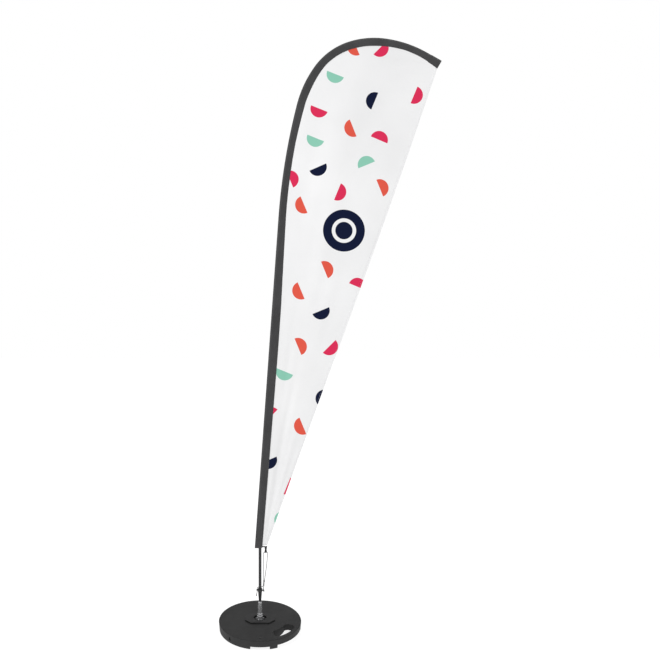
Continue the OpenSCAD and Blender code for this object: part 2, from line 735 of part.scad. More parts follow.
module joint_collar_upper() {
    joint_collar(2);
}
module tip_cap() {
    color(soft_black) difference() {
        pole_bar(tip_s - cap_len + 4, tip_s + 4, cap_d);
        pole_bar(tip_s - cap_len + 4, tip_s + glue_gap, section_d[3] + 2 * glue_gap);
    }
}

// ---------- Flag ----------
module flag_sleeve() {
    color(sleeve_grey) difference() {
        upright(sleeve_depth) polygon(concat(outer_edge(0), turned(inner_edge(0))));
        upright(sleeve_depth - 2 * sleeve_cloth) polygon(concat(
            [beside(sleeve_bottom_s - 10, edge_gap - sleeve_cloth)],
            outer_edge(sleeve_cloth),
            [beside(sleeve_end_s + 10, edge_gap - sleeve_cloth)],
            [beside(sleeve_end_s + 10, edge_gap - sleeve_w(sleeve_end_s) + sleeve_cloth)],
            turned(inner_edge(sleeve_cloth)),
            [beside(sleeve_bottom_s - 10, edge_gap - sleeve_w(sleeve_bottom_s) + sleeve_cloth)]
        ));
    }
}
// The sleeve's outline over its last stretch, grown on both sides and past its end
function end_outline(from_s, grow, past) = [
    beside(from_s, edge_gap + grow), beside(sleeve_end_s + past, edge_gap + grow),
    beside(sleeve_end_s + past, edge_gap - sleeve_w(sleeve_end_s) - grow),
    beside(from_s, edge_gap - sleeve_w(from_s) - grow)
];
module tip_pocket() {
    start = sleeve_end_s - pocket_len;
    inner_start = edge_gap - sleeve_w(start - 10);
    inner_end = edge_gap - sleeve_w(sleeve_end_s);
    color(sleeve_grey) difference() {
        upright(sleeve_depth + 2 * pocket_cloth) polygon(end_outline(start, pocket_cloth, pocket_cloth));
        upright(sleeve_depth + 2 * cloth_gap) polygon(end_outline(start - 10, cloth_gap, 0));
        upright(hem_t + 2 * cloth_gap) polygon([
            beside(start - 10, inner_start + 1), beside(sleeve_end_s, inner_end + 1),
            beside(sleeve_end_s, inner_end - 10), beside(start - 10, inner_start - 10)
        ]);
    }
}
module panel_region() {
    far = 2000;
    intersection() {
        polygon(concat(
            turned(free_edge(hem_w)), [[-far, flag_bottom], [-far, 2 * far], [free_top[0], 2 * far]]
        ));
        polygon(concat(inner_edge(0), [[far, free_top[1]], [far, flag_bottom - 100]]));
    }
}
module flag_panel() {
    color(flag_white) upright(panel_cloth) panel_region();
}
module free_edge_hem() {
    color(flag_white) upright(hem_t) difference() {
        polygon(concat(free_edge(0), turned(free_edge(hem_w))));
        polygon(concat(outer_edge(-10), turned(inner_edge(0))));
        translate([-base_r, flag_bottom - base_r]) square([2 * base_r, base_r]);
    }
}
// Where the sleeve's inner edge is at height z, below the point where the sleeve joins the pole's lean
function inner_x(z) = let (
        low = beside(sleeve_bottom_s, edge_gap - sleeve_w(sleeve_bottom_s)),
        high = beside(lean_s, edge_gap - sleeve_w(lean_s)))
    low[0] + (z - low[1]) / (high[1] - low[1]) * (high[0] - low[0]);
module bottom_binding() {
    low = flag_bottom - binding_h;
    color(soft_black) upright(binding_t) polygon([
        [inner_x(low), low], [bottom_reach, low],
        [bottom_reach, flag_bottom], [inner_x(flag_bottom), flag_bottom]
    ]);
}
module webbing_tab() {
    waist = 3;
    mid = (tunnel_z + flag_bottom - binding_h) / 2 + 4;
    top = flag_bottom - binding_h;
    color(soft_black) difference() {
        upright(tab_t) polygon([
            [tab_x[0], tab_bottom], [tab_x[1], tab_bottom], [tab_x[1], tunnel_z + 6], [tab_x[1] - waist, mid],
            [tab_x[1], top], [tab_x[0], top], [tab_x[0] + waist, mid], [tab_x[0], tunnel_z + 6]
        ]);
        translate([tab_x[0] - 1, 0, tunnel_z]) rotate([0, 90, 0])
            cylinder(d = cord_d + 2 * tunnel_play, h = tab_x[1] - tab_x[0] + 2, $fn = 24);
    }
}

// ---------- Tensioner ----------
module hook_ring() {
    color(soft_black) difference() {
        union() {
            translate([0, 0, ring_z]) cylinder(d = ring_d, h = ring_h);
            translate([-lug_w - split_gap / 2, 0, ring_z])
                cube([2 * lug_w + split_gap, ring_d / 2 + lug_reach, ring_h]);
            translate([0, -hook_t / 2, hook_z]) cube([hook_reach, hook_t, hook_t]);
            translate([hook_reach - 3, -hook_t / 2, hook_z - hook_lip]) cube([3, hook_t, hook_lip + hook_t]);
            translate([eyelet_x, 0, eye_z - eyelet_h / 2]) cylinder(d = eyelet_d, h = eyelet_h, $fn = 32);
            translate([eyelet_x, -3, eye_z - eyelet_h / 2]) cube([ring_d / 2, 6, eyelet_h]);
        }
        translate([0, 0, ring_z - 1]) cylinder(d = tube_d + 2 * run_fit, h = ring_h + 2);
        translate([-split_gap / 2, 0, ring_z - 1]) cube([split_gap, ring_d + lug_reach, ring_h + 2]);
        translate([-2 * ring_d, pinch_y, eye_z]) rotate([0, 90, 0])
            cylinder(d = pinch_d + 0.4, h = 4 * ring_d, $fn = 32);
        translate([eyelet_x, 0, ring_z - 1]) cylinder(d = cord_d + 0.5, h = ring_h + 2, $fn = 24);
    }
}
module pinch_screw() {
    reach = lug_w + split_gap / 2;
    color(steel_silver) translate([0, pinch_y, eye_z]) rotate([0, 90, 0]) difference() {
        union() {
            translate([0, 0, -reach]) cylinder(d = pinch_d, h = 2 * reach + pinch_nut_t + 1.5, $fn = 32);
            translate([0, 0, -reach - pinch_head_t]) cylinder(d = pinch_head_d, h = pinch_head_t, $fn = 32);
        }
        translate([0, 0, -reach - pinch_head_t - 1]) cylinder(d = 3.4, h = 3, $fn = 6);
    }
}
module pinch_nut() {
    reach = lug_w + split_gap / 2;
    color(steel_silver) translate([reach, pinch_y, eye_z]) rotate([0, 90, 0]) difference() {
        cylinder(d = pinch_nut_af / cos(30), h = pinch_nut_t, $fn = 6);
        translate([0, 0, -1]) cylinder(d = pinch_d, h = pinch_nut_t + 2, $fn = 32);
    }
}
module elastic_cord() {
    color(soft_black) cord(cord_route);
}
module cord_knot() {
    color(soft_black) translate([knot_x, 0, knot_z]) union() {
        cylinder(d1 = knot_d, d2 = knot_d + 2, h = knot_h / 2, $fn = 32);
        translate([0, 0, knot_h / 2]) cylinder(d1 = knot_d + 2, d2 = knot_d, h = knot_h / 2, $fn = 32);
    }
}
module cord_hook_loop() {
    color(soft_black) cord(hook_loop_route);
}
module cord_tail() {
    color(soft_black) cord(tail_route);
}
module tail_knot() {
    color(soft_black) translate([eyelet_x - 4, 0, ring_z - 18 - tail_knot_d / 2])
        sphere(d = tail_knot_d, $fn = 32);
}

base_shell();
concrete_fill();
filler_plug();
rubber_feet();
centre_pad();
hub_insert();
hub_plate();
hub_screws();
hub_washer();
collar_nut();
bearing_housing();
bearing_outer_rings();
housing_circlip();
dust_seal();
bearing_balls();
bearing_cages();
spindle_pin();
bearing_inner_rings();
bearing_spacer();
pin_clip();
thrust_washer();
pole_end_ferrule();
pin_guide_bush();
pole_lower_tube();
pole_second_tube();
pole_third_tube();
pole_tip_rod();
joint_collar_lower();
joint_collar_middle();
joint_collar_upper();
tip_cap();
flag_sleeve();
tip_pocket();
flag_panel();
free_edge_hem();
bottom_binding();
webbing_tab();
elastic_cord();
hook_ring();
pinch_screw();
pinch_nut();
cord_knot();
cord_hook_loop();
cord_tail();
tail_knot();
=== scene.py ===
"""Looks of the teardrop flag: cloth, tapes, cords and every material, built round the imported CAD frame.

Metres, in the part's own frame: +Z up along the spindle, printed face toward -Y.
"""
import json
import math

import bpy
import numpy as np
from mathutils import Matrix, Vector


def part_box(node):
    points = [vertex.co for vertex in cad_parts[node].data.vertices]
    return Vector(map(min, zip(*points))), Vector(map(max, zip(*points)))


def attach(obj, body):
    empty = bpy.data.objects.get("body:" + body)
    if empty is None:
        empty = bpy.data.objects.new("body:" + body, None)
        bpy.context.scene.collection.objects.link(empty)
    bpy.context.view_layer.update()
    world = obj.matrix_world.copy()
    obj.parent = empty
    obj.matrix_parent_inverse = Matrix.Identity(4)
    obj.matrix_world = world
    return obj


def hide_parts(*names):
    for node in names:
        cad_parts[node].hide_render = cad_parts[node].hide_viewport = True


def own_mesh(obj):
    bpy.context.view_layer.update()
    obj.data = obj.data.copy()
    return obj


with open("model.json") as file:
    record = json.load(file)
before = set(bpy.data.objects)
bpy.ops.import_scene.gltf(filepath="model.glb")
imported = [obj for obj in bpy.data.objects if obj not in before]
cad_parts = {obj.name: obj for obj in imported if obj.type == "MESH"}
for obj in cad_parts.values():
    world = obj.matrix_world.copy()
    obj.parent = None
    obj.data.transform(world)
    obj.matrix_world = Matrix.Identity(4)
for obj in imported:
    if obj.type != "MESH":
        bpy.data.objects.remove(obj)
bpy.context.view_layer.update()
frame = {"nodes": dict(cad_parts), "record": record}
scene = bpy.context.scene
nodes = frame["nodes"]
TAU = 2 * math.pi
MM = 0.001

# ---------- The pole's line and the flag's edges, as in part.scad ----------
LEAN = 4.1
EDGE_GAP = 11 * MM               # from the pole's middle line to the sleeve's outer edge
HEM_W = 11 * MM
FREE_BOW = 9 * MM
BOTTOM_REACH = 39 * MM
POCKET_LEN = 62 * MM
TUBE_R = 8 * MM
TUBE_STEP = 1.45 * MM            # each section is this much smaller in radius
SECTION_SHARES = (0.244, 0.482, 0.715)
BOTTOM_SKEW = 5 * MM             # the sleeve's outer corner hangs this much lower
SLEEVE_BELOW = 11 * MM           # the sleeve reaches this far below the panel
SLEEVE_GIRTH = 90 * MM           # the cloth round the sleeve, in its flat coordinates
SLEEVE_WIDTHS = (
    (0.26, 0.041), (0.7, 0.045), (1.35, 0.0505), (1.6, 0.050), (2.1, 0.0425), (2.5, 0.041),
    (2.82, 0.0475), (3.0, 0.0445), (3.32, 0.046), (3.48, 0.0395),
)
TIP_WIDTHS = (0.041, 0.048)      # where the straight tip begins, and at its end
# (radius, turn to the right in degrees), or (length, 0) where straight
ROUTE = (
    (0.265, 0), (7.0, LEAN), (1.31, 0), (3.5, 10.3), (0.61, 21.2),
    (0.36, 37.2), (0.445, 24.4), (0.625, 22.8), (0.086, 0),
)
POLE_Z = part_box("pole_lower_tube")[0].z
FLAG_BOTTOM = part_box("flag_panel")[0].z


def wave(turns):
    return math.sin(TAU * turns)


def leg_length(leg):
    return leg[0] if leg[1] == 0 else leg[0] * math.radians(leg[1])


def along_leg(place, leg, t):
    """place is (x, z, heading), heading in radians from +Z toward +X."""
    x, z, a = place
    if leg[1] == 0:
        return x + t * math.sin(a), z + t * math.cos(a), a
    b = a + t / leg[0]
    return x + leg[0] * (math.cos(a) - math.cos(b)), z + leg[0] * (math.sin(b) - math.sin(a)), b


def route_starts():
    place, s = (0.0, POLE_Z, 0.0), 0.0
    starts = [(place, s)]
    for leg in ROUTE:
        place, s = along_leg(place, leg, leg_length(leg)), s + leg_length(leg)
        starts.append((place, s))
    return starts


STARTS = route_starts()
LEAN_S = STARTS[2][1]
ROUTE_LEN = STARTS[-1][1]
SECTION_ENDS = [round(share * ROUTE_LEN, 3) for share in SECTION_SHARES]
WIDTHS = SLEEVE_WIDTHS + ((STARTS[-2][1], TIP_WIDTHS[0]), (ROUTE_LEN, TIP_WIDTHS[1]))


def lean_station(z):
    """The station at height z on the leaning straight line, carried on downward."""
    return LEAN_S - (STARTS[2][0][1] - z) / math.cos(math.radians(LEAN))


PANEL_START = lean_station(FLAG_BOTTOM)
SLEEVE_START = lean_station(FLAG_BOTTOM - SLEEVE_BELOW)


def pole_at(s):
    i = max(k for k in range(len(ROUTE)) if STARTS[k][1] <= s or k == 0)
    return along_leg(STARTS[i][0], ROUTE[i], s - STARTS[i][1])


def sleeve_at(s):
    if s >= LEAN_S:
        return pole_at(s)
    x, z, a = STARTS[2][0]
    back = LEAN_S - s
    return x - back * math.sin(a), z - back * math.cos(a), a


def sleeve_width(s):
    xs, ws = zip(*WIDTHS)
    return float(np.interp(s, xs, ws))


def beside(s, off, y=0.0):
    """The point at off from the sleeve's line, positive on the outer side."""
    x, z, a = sleeve_at(s)
    return Vector((x - off * math.cos(a), y, z + off * math.sin(a)))


def seam(s):
    """How far the sleeve's inner edge is from its line."""
    return EDGE_GAP - sleeve_width(s)


FREE_TOP = beside(ROUTE_LEN, seam(ROUTE_LEN))
FREE_LOW = Vector((BOTTOM_REACH, 0, FLAG_BOTTOM))
FREE_DIR = (FREE_TOP - FREE_LOW).normalized()
FREE_OUT = Vector((FREE_DIR.z, 0, -FREE_DIR.x))


def edge_wave(t):
    """How the free edge swings out of the flag's plane, t from the bottom to the tip."""
    hold = math.sin(math.pi * t) ** 0.8
    return hold * (5.5 * MM * wave(1.35 * t + 0.08) + 2.2 * MM * wave(3.1 * t + 0.3))


def free_edge(t, inset=0.0):
    """The point at t on the free edge, or inset from it toward the pole."""
    bow = FREE_BOW * math.sin(math.pi * t * t)
    p = FREE_LOW + t * (FREE_TOP - FREE_LOW) + (bow - inset) * FREE_OUT
    return Vector((p.x, edge_wave(t), p.z))


# ---------- Mesh helpers ----------
def new_mesh(name, verts, faces, uv=None, smooth=True, sharp=None):
    """A mesh piece. uv gives each vertex's pair, kept in a map named cut."""
    me = bpy.data.meshes.new(name)
    me.from_pydata([tuple(v) for v in verts], [], faces)
    me.update()
    if uv is not None:
        layer = me.uv_layers.new(name="cut")
        for loop in me.loops:
            layer.data[loop.index].uv = uv[loop.vertex_index]
    for p in me.polygons:
        p.use_smooth = smooth
    if sharp is not None:
        me.set_sharp_from_angle(angle=math.radians(sharp))
    ob = bpy.data.objects.new(name, me)
    scene.collection.objects.link(ob)
    return ob


def tube_faces(rings, around, caps):
    faces = []
    for i in range(rings - 1):
        for k in range(around):
            m = (k + 1) % around
            faces.append((i * around + k, i * around + m, (i + 1) * around + m, (i + 1) * around + k))
    if caps:
        faces.append(tuple(reversed(range(around))))
        faces.append(tuple((rings - 1) * around + k for k in range(around)))
    return faces


def skin(name, rings, caps=True, uv=None, sharp=50):
    """A closed tube through rings of points."""
    verts = [p for ring in rings for p in ring]
    return new_mesh(name, verts, tube_faces(len(rings), len(rings[0]), caps), uv, sharp=sharp)


def apply_modifier(ob, name, kind, **settings):
    mod = ob.modifiers.new(name, kind)
    for key, value in settings.items():
        setattr(mod, key, value)
    bpy.context.view_layer.objects.active = ob
    bpy.ops.object.select_all(action="DESELECT")
    ob.select_set(True)
    bpy.ops.object.modifier_apply(modifier=name)
    return ob


def smooth_line(points, spacing):
    """A Catmull-Rom line through points, sampled about every spacing."""
    pts = [Vector(p) for p in points]
    pts = [2 * pts[0] - pts[1]] + pts + [2 * pts[-1] - pts[-2]]
    out = []
    for a, b, c, d in zip(pts, pts[1:], pts[2:], pts[3:]):
        n = max(2, math.ceil((c - b).length / spacing))
        for k in range(n):
            t = k / n
            out.append(0.5 * (2 * b + (c - a) * t + (2 * a - 5 * b + 4 * c - d) * t * t
                              + (3 * b - a - 3 * c + d) * t ** 3))
    out.append(pts[-2])
    return out


def carried_frames(line):
    """A pair of directions across the line at each of its points, carried along without twist."""
    frames = []
    u = None
    for i in range(len(line)):
        d = (line[min(i + 1, len(line) - 1)] - line[max(i - 1, 0)]).normalized()
        if u is None:
            u = Vector((0, 1, 0)) if abs(d.y) < 0.9 else Vector((1, 0, 0))
        u = (u - u.dot(d) * d).normalized()
        frames.append((u.copy(), d.cross(u)))
    return frames


def braided_cord(name, points, radius, sides=24, pitch=5.5 * MM, relief=0.05):
    """A cord with a braided sheath: crossing strands raise its surface."""
    line = smooth_line(points, 0.55 * MM)
    rings, s = [], 0.0
    for i, (p, (u, v)) in enumerate(zip(line, carried_frames(line))):
        s += 0.0 if i == 0 else (p - line[i - 1]).length
        ring = []
        for k in range(sides):
            a = TAU * k / sides
            weave = math.sin(4 * a + TAU * s / pitch) * math.sin(4 * a - TAU * s / pitch)
            r = radius * (1 - relief + relief * weave)
            ring.append(p + r * (math.cos(a) * u + math.sin(a) * v))
        rings.append(ring)
    return skin(name, rings, sharp=None)


def stitches(name, places, length, radius):
    """Thread stitches: places gives each one's middle, its direction and the way it stands out."""
    verts, faces = [], []
    around = 6
    shape = ((-1.0, -0.9), (-0.8, 0.1), (-0.35, 0.62), (0.35, 0.62), (0.8, 0.1), (1.0, -0.9))
    for mid, along, out in places:
        side = along.cross(out)
        first = len(verts)
        for t, lift in shape:
            centre = mid + along * (t * length / 2) + out * (lift * radius)
            thin = radius * (0.6 if abs(t) > 0.9 else 1.0)
            for k in range(around):
                a = TAU * k / around
                verts.append(centre + thin * (math.cos(a) * side + math.sin(a) * out))
        faces += [tuple(first + i for i in f) for f in tube_faces(len(shape), around, True)]
    return new_mesh(name, verts, faces)


# ---------- Material helpers ----------
class Shader:
    """A node material with one Principled shader, and short calls for the nodes round it."""

    def __init__(self, name, **sockets):
        self.material = bpy.data.materials.new(name)
        self.material.use_nodes = True
        self.tree = self.material.node_tree
        self.bsdf = self.tree.nodes["Principled BSDF"]
        for key, value in sockets.items():
            self.set(key, value)

    def set(self, key, value):
        socket = self.bsdf.inputs[key.replace("_", " ")]
        if hasattr(value, "is_linked"):
            self.tree.links.new(value, socket)
        elif isinstance(value, tuple):
            socket.default_value = (*value, 1.0) if len(value) == 3 else value
        else:
            socket.default_value = value

    def node(self, kind, **values):
        n = self.tree.nodes.new(kind)
        for key, value in values.items():
            setattr(n, key, value)
        return n

    def feed(self, node, **inputs):
        """Links or sets a node's inputs, by name or, as i0, i1 and so on, by place."""
        for key, value in inputs.items():
            by_place = key[0] == "i" and key[1:].isdigit()
            socket = node.inputs[int(key[1:]) if by_place else key]
            if hasattr(value, "is_linked"):
                self.tree.links.new(value, socket)
            else:
                socket.default_value = value
        return node

    def place(self, stretch=(1, 1, 1)):
        """Object coordinates, stretched so that a pattern can run along an axis."""
        coords = self.node("ShaderNodeTexCoord").outputs["Object"]
        return self.feed(self.node("ShaderNodeMapping"), Vector=coords, Scale=stretch).outputs[0]

    def cut(self, stretch=(1, 1, 1)):
        """The cloth's own flat coordinates, in metres."""
        coords = self.node("ShaderNodeUVMap", uv_map="cut").outputs[0]
        return self.feed(self.node("ShaderNodeMapping"), Vector=coords, Scale=stretch).outputs[0]

    def noise(self, at, scale, detail=4.0, rough=0.55):
        n = self.node("ShaderNodeTexNoise")
        return self.feed(n, Vector=at, Scale=scale, Detail=detail, Roughness=rough).outputs["Fac"]

    def cells(self, at, scale, smooth=0.6):
        n = self.node("ShaderNodeTexVoronoi", feature="SMOOTH_F1")
        return self.feed(n, Vector=at, Scale=scale, Smoothness=smooth).outputs["Distance"]

    def bands(self, at, scale, axis, distortion=0.0):
        n = self.node("ShaderNodeTexWave", wave_type="BANDS", bands_direction=axis)
        return self.feed(n, Vector=at, Scale=scale, Distortion=distortion, Detail=1.0).outputs["Fac"]

    def math(self, operation, a, b=0.0):
        return self.feed(self.node("ShaderNodeMath", operation=operation), i0=a, i1=b).outputs[0]

    def spread(self, value, low, high, out_low=0.0, out_high=1.0):
        n = self.node("ShaderNodeMapRange")
        self.feed(n, i0=value, i1=low, i2=high, i3=out_low, i4=out_high)
        return n.outputs[0]

    def mix(self, share, a, b):
        n = self.node("ShaderNodeMix", data_type="RGBA")
        for i, value in ((0, share), (6, a), (7, b)):
            if hasattr(value, "is_linked"):
                self.tree.links.new(value, n.inputs[i])
            elif isinstance(value, tuple):
                n.inputs[i].default_value = (*value, 1.0)
            else:
                n.inputs[i].default_value = value
        return n.outputs[2]

    def bump(self, height, strength, distance, under=None):
        n = self.feed(self.node("ShaderNodeBump"), Height=height, Strength=strength, Distance=distance)
        if under is not None:
            self.tree.links.new(under, n.inputs["Normal"])
        self.tree.links.new(n.outputs[0], self.bsdf.inputs["Normal"])
        return n.outputs[0]


def toned(colour, times, plus=0.0):
    """A colour made lighter or darker."""
    return tuple(min(1.0, c * times + plus) for c in colour)


def moulded_plastic(name, colour, roughness, grain=900, scuffs=0.25):
    """Fine-grained moulding with faint flow marks, scuffs and dust."""
    m = Shader(name)
    at = m.place()
    flow = m.noise(at, 9, 5)
    fine = m.cells(at, grain)
    scratch = m.noise(m.place((1, 14, 3)), 55, 6, 0.7)
    worn = m.spread(scratch, 0.62, 0.74, 0, scuffs)
    dust = m.spread(m.noise(at, 31, 8, 0.7), 0.45, 0.8, 0, 0.16)
    base = m.mix(m.spread(flow, 0.35, 0.65), toned(colour, 0.88), toned(colour, 1.14))
    base = m.mix(worn, base, toned(colour, 2.1, 0.012))
    m.set("Base_Color", m.mix(dust, base, toned(colour, 2.4, 0.008)))
    m.set("Roughness", m.math("ADD", m.spread(flow, 0.3, 0.7, roughness - 0.06, roughness + 0.08), worn))
    m.bump(scratch, 0.04, 0.3 * MM, m.bump(fine, 0.22, 0.12 * MM))
    return m.material


def rubber(name):
    """Matt rubber with a pale bloom."""
    m = Shader(name, Specular_IOR_Level=0.35)
    at = m.place()
    bloom = m.noise(at, 60, 7, 0.65)
    m.set("Base_Color", m.mix(m.spread(bloom, 0.4, 0.7), (0.012, 0.012, 0.013), (0.033, 0.032, 0.031)))
    m.set("Roughness", m.spread(bloom, 0.3, 0.7, 0.66, 0.86))
    m.bump(m.cells(at, 1400), 0.3, 0.1 * MM)
    return m.material


def plated_metal(name, colour, roughness, metallic=1.0, grime=0.3, relief=0.05):
    """Metal with turning marks round its axis, small pits and a little grime."""
    m = Shader(name, Metallic=metallic)
    at = m.place()
    rings = m.noise(m.place((2, 2, 60)), 34, 4, 0.6)
    pits = m.noise(at, 420, 3, 0.6)
    grime_share = m.spread(m.noise(at, 70, 8, 0.7), 0.52, 0.78, 0, grime)
    m.set("Base_Color", m.mix(grime_share, colour, toned(colour, 0.42)))
    turned = m.spread(rings, 0.3, 0.7, roughness, roughness * 1.9)
    m.set("Roughness", m.math("ADD", turned, m.math("MULTIPLY", grime_share, 0.3)))
    m.bump(rings, relief, 0.1 * MM, m.bump(pits, 0.6 * relief, 0.1 * MM))
    return m.material


def coated_tube(name, colour, roughness, metallic):
    """Drawn tube with a satin coat: streaks run along it."""
    m = Shader(name, Metallic=metallic, Coat_Weight=0.15, Coat_Roughness=0.2)
    streaks = m.noise(m.place((220, 220, 3)), 1.5, 4, 0.6)
    rubs = m.spread(m.noise(m.place((30, 30, 4)), 8, 6, 0.7), 0.6, 0.75, 0, 0.35)
    coat = m.mix(streaks, toned(colour, 0.7), toned(colour, 1.4))
    m.set("Base_Color", m.mix(rubs, coat, (0.075, 0.075, 0.08)))
    m.set("Roughness", m.spread(streaks, 0.3, 0.7, roughness - 0.06, roughness + 0.1))
    m.bump(streaks, 0.05, 0.1 * MM)
    return m.material


def wound_fibre(name):
    """Black glass fibre under a clear coat, with a faint winding."""
    m = Shader(name, Coat_Weight=0.4, Coat_Roughness=0.12)
    wind = m.bands(m.place(), 260, "DIAGONAL", 0.6)
    cloud = m.noise(m.place(), 40, 5)
    m.set("Base_Color", m.mix(wind, (0.012, 0.012, 0.014), (0.04, 0.04, 0.044)))
    m.set("Roughness", m.spread(cloud, 0.3, 0.7, 0.28, 0.42))
    m.bump(wind, 0.12, 0.1 * MM)
    return m.material


def cast_concrete(name):
    """Sandy concrete with small stones."""
    m = Shader(name)
    at = m.place()
    sand = m.noise(at, 380, 8, 0.7)
    stones = m.cells(at, 90, 0.2)
    tone = m.mix(m.spread(m.noise(at, 14, 5), 0.3, 0.7), (0.2, 0.193, 0.18), (0.36, 0.35, 0.33))
    m.set("Base_Color", m.mix(m.spread(stones, 0.1, 0.5), tone, (0.27, 0.26, 0.24)))
    m.set("Roughness", m.spread(sand, 0.3, 0.7, 0.82, 0.96))
    m.bump(sand, 0.6, 0.6 * MM, m.bump(stones, 0.25, 0.8 * MM))
    return m.material


def nylon(name):
    """Natural white nylon, a little translucent, with turning marks."""
    m = Shader(name, Subsurface_Weight=0.15, Subsurface_Scale=0.002)
    at = m.place()
    haze = m.noise(at, 120, 5)
    m.set("Base_Color", m.mix(haze, (0.68, 0.66, 0.58), (0.8, 0.785, 0.73)))
    m.set("Roughness", m.spread(haze, 0.3, 0.7, 0.34, 0.5))
    m.bump(m.noise(m.place((3, 3, 300)), 12, 3), 0.1, 0.1 * MM)
    return m.material


def weave_height(m, at, thread, softness):
    """Threads over and under each other: thread is the distance between two of them."""
    warp = m.bands(at, 0.5 / thread, "X", softness)
    weft = m.bands(at, 0.5 / thread, "Y", softness)
    over = m.bands(at, 0.25 / thread, "DIAGONAL")
    share = m.feed(m.node("ShaderNodeMix", data_type="FLOAT"), i0=over, i2=warp, i3=weft)
    return share.outputs[0]


def sleeve_cloth(name):
    """Dark stretch polyester: a fine twill with a soft sheen and lighter fibres here and there."""
    m = Shader(name, Sheen_Weight=0.35, Sheen_Roughness=0.45, Specular_IOR_Level=0.3)
    flat = m.cut()
    weave = weave_height(m, flat, 0.9 * MM, 0.35)
    heather = m.noise(m.cut((1, 0.22, 1)), 900, 4, 0.7)
    wash = m.noise(flat, 7, 6, 0.6)
    base = m.mix(m.spread(wash, 0.35, 0.65), (0.036, 0.036, 0.037), (0.050, 0.050, 0.052))
    base = m.mix(m.spread(heather, 0.5, 0.75, 0, 0.5), base, (0.075, 0.076, 0.08))
    # painted shade: the colour is darkened in the low gaps between the threads
    m.set("Base_Color", m.mix(m.spread(weave, 0.0, 0.4, 0.45, 0), base, (0.013, 0.013, 0.014)))
    m.set("Roughness", m.spread(heather, 0.3, 0.7, 0.62, 0.78))
    m.bump(weave, 0.5, 0.25 * MM, m.bump(wash, 0.08, 2 * MM))
    return m.material


def tape_cloth(name, across, tone=(0.007, 0.007, 0.0075)):
    """Woven tape: ribs run across it."""
    m = Shader(name, Sheen_Weight=0.2, Specular_IOR_Level=0.35)
    ribs = m.bands(m.place(), 0.5 / (1.1 * MM), across, 0.3)
    fluff = m.noise(m.place(), 700, 4, 0.7)
    # painted shade and highlight: darker in the grooves between the ribs, lighter on their tops
    m.set("Base_Color", m.mix(ribs, toned(tone, 0.6), toned(tone, 2.2)))
    m.set("Roughness", m.spread(fluff, 0.3, 0.7, 0.6, 0.8))
    m.bump(ribs, 0.6, 0.3 * MM, m.bump(fluff, 0.2, 0.1 * MM))
    return m.material


def cord_cloth(name):
    """Braided sheath over rubber, black with a grey tracer."""
    m = Shader(name, Sheen_Weight=0.25)
    at = m.place()
    strands = m.noise(m.place((1, 1, 0.4)), 1600, 3, 0.6)
    tracer = m.spread(m.bands(at, 190, "Z", 1.5), 0.7, 0.95, 0, 0.8)
    base = m.mix(strands, (0.006, 0.006, 0.0065), (0.02, 0.02, 0.021))
    m.set("Base_Color", m.mix(tracer, base, (0.045, 0.045, 0.048)))
    m.set("Roughness", m.spread(strands, 0.3, 0.7, 0.55, 0.75))
    m.bump(strands, 0.35, 0.15 * MM)
    return m.material


def thread_cloth(name, colour):
    """Twisted sewing thread."""
    m = Shader(name, Sheen_Weight=0.3)
    twist = m.bands(m.place(), 900, "DIAGONAL", 0.4)
    # painted shade: darker in the grooves of the twist
    m.set("Base_Color", m.mix(twist, toned(colour, 0.55), colour))
    m.set("Roughness", m.spread(twist, 0.2, 0.8, 0.5, 0.7))
    m.bump(twist, 0.4, 0.1 * MM)
    return m.material


# ---------- The print ----------
ORANGE = (0.70, 0.092, 0.058)
CRIMSON = (0.66, 0.024, 0.088)
MINT = (0.245, 0.545, 0.42)
NAVY = (0.0012, 0.0052, 0.030)
HALF_DISC_R = 49 * MM
STEP = 22.5                      # the print's turning step, in degrees
# Scattered half discs: centre of the visible shape (x, z) in metres, turn in steps, ink
SCATTER = (
    (0.508, 3.180, 9, ORANGE), (0.671, 3.166, 14, CRIMSON), (0.406, 3.018, 11, MINT),
    (0.609, 2.896, 7, NAVY), (0.864, 2.917, 15, CRIMSON), (0.317, 2.829, 11, CRIMSON),
    (0.490, 2.732, 9, ORANGE), (0.660, 2.696, 3, CRIMSON), (0.297, 2.668, 11, MINT),
    (0.576, 2.559, 5, MINT), (0.324, 2.508, 13, NAVY), (0.182, 2.469, 1, CRIMSON),
    (0.442, 2.383, 15, CRIMSON), (0.675, 2.420, 1, ORANGE), (0.222, 2.314, 9, ORANGE),
    (0.371, 1.971, 1, ORANGE), (0.540, 1.891, 3, CRIMSON), (0.206, 1.843, 9, ORANGE),
    (0.340, 1.722, 13, NAVY), (0.227, 1.551, 1, ORANGE), (0.393, 1.531, 14, CRIMSON),
    (0.128, 1.388, 11, MINT), (0.334, 1.267, 7, NAVY), (0.047, 1.178, 6, CRIMSON),
    (0.216, 1.101, 9, ORANGE), (0.053, 0.902, 13, NAVY), (0.167, 0.772, 15, CRIMSON),
    (0.108, 0.601, 7, MINT),
)
EMBLEM = (0.459, 2.179)
EMBLEM_R = 0.115
RING_MID_R = 0.5 * EMBLEM_R      # the white ring on the emblem
RING_HALF_W = 0.085 * EMBLEM_R
RING_WHITE = (0.82, 0.82, 0.825)
PRINT_SOFT = 0.35 * MM           # half the width over which an ink's edge fades
EMBLEM_SOFT = 0.4 * MM


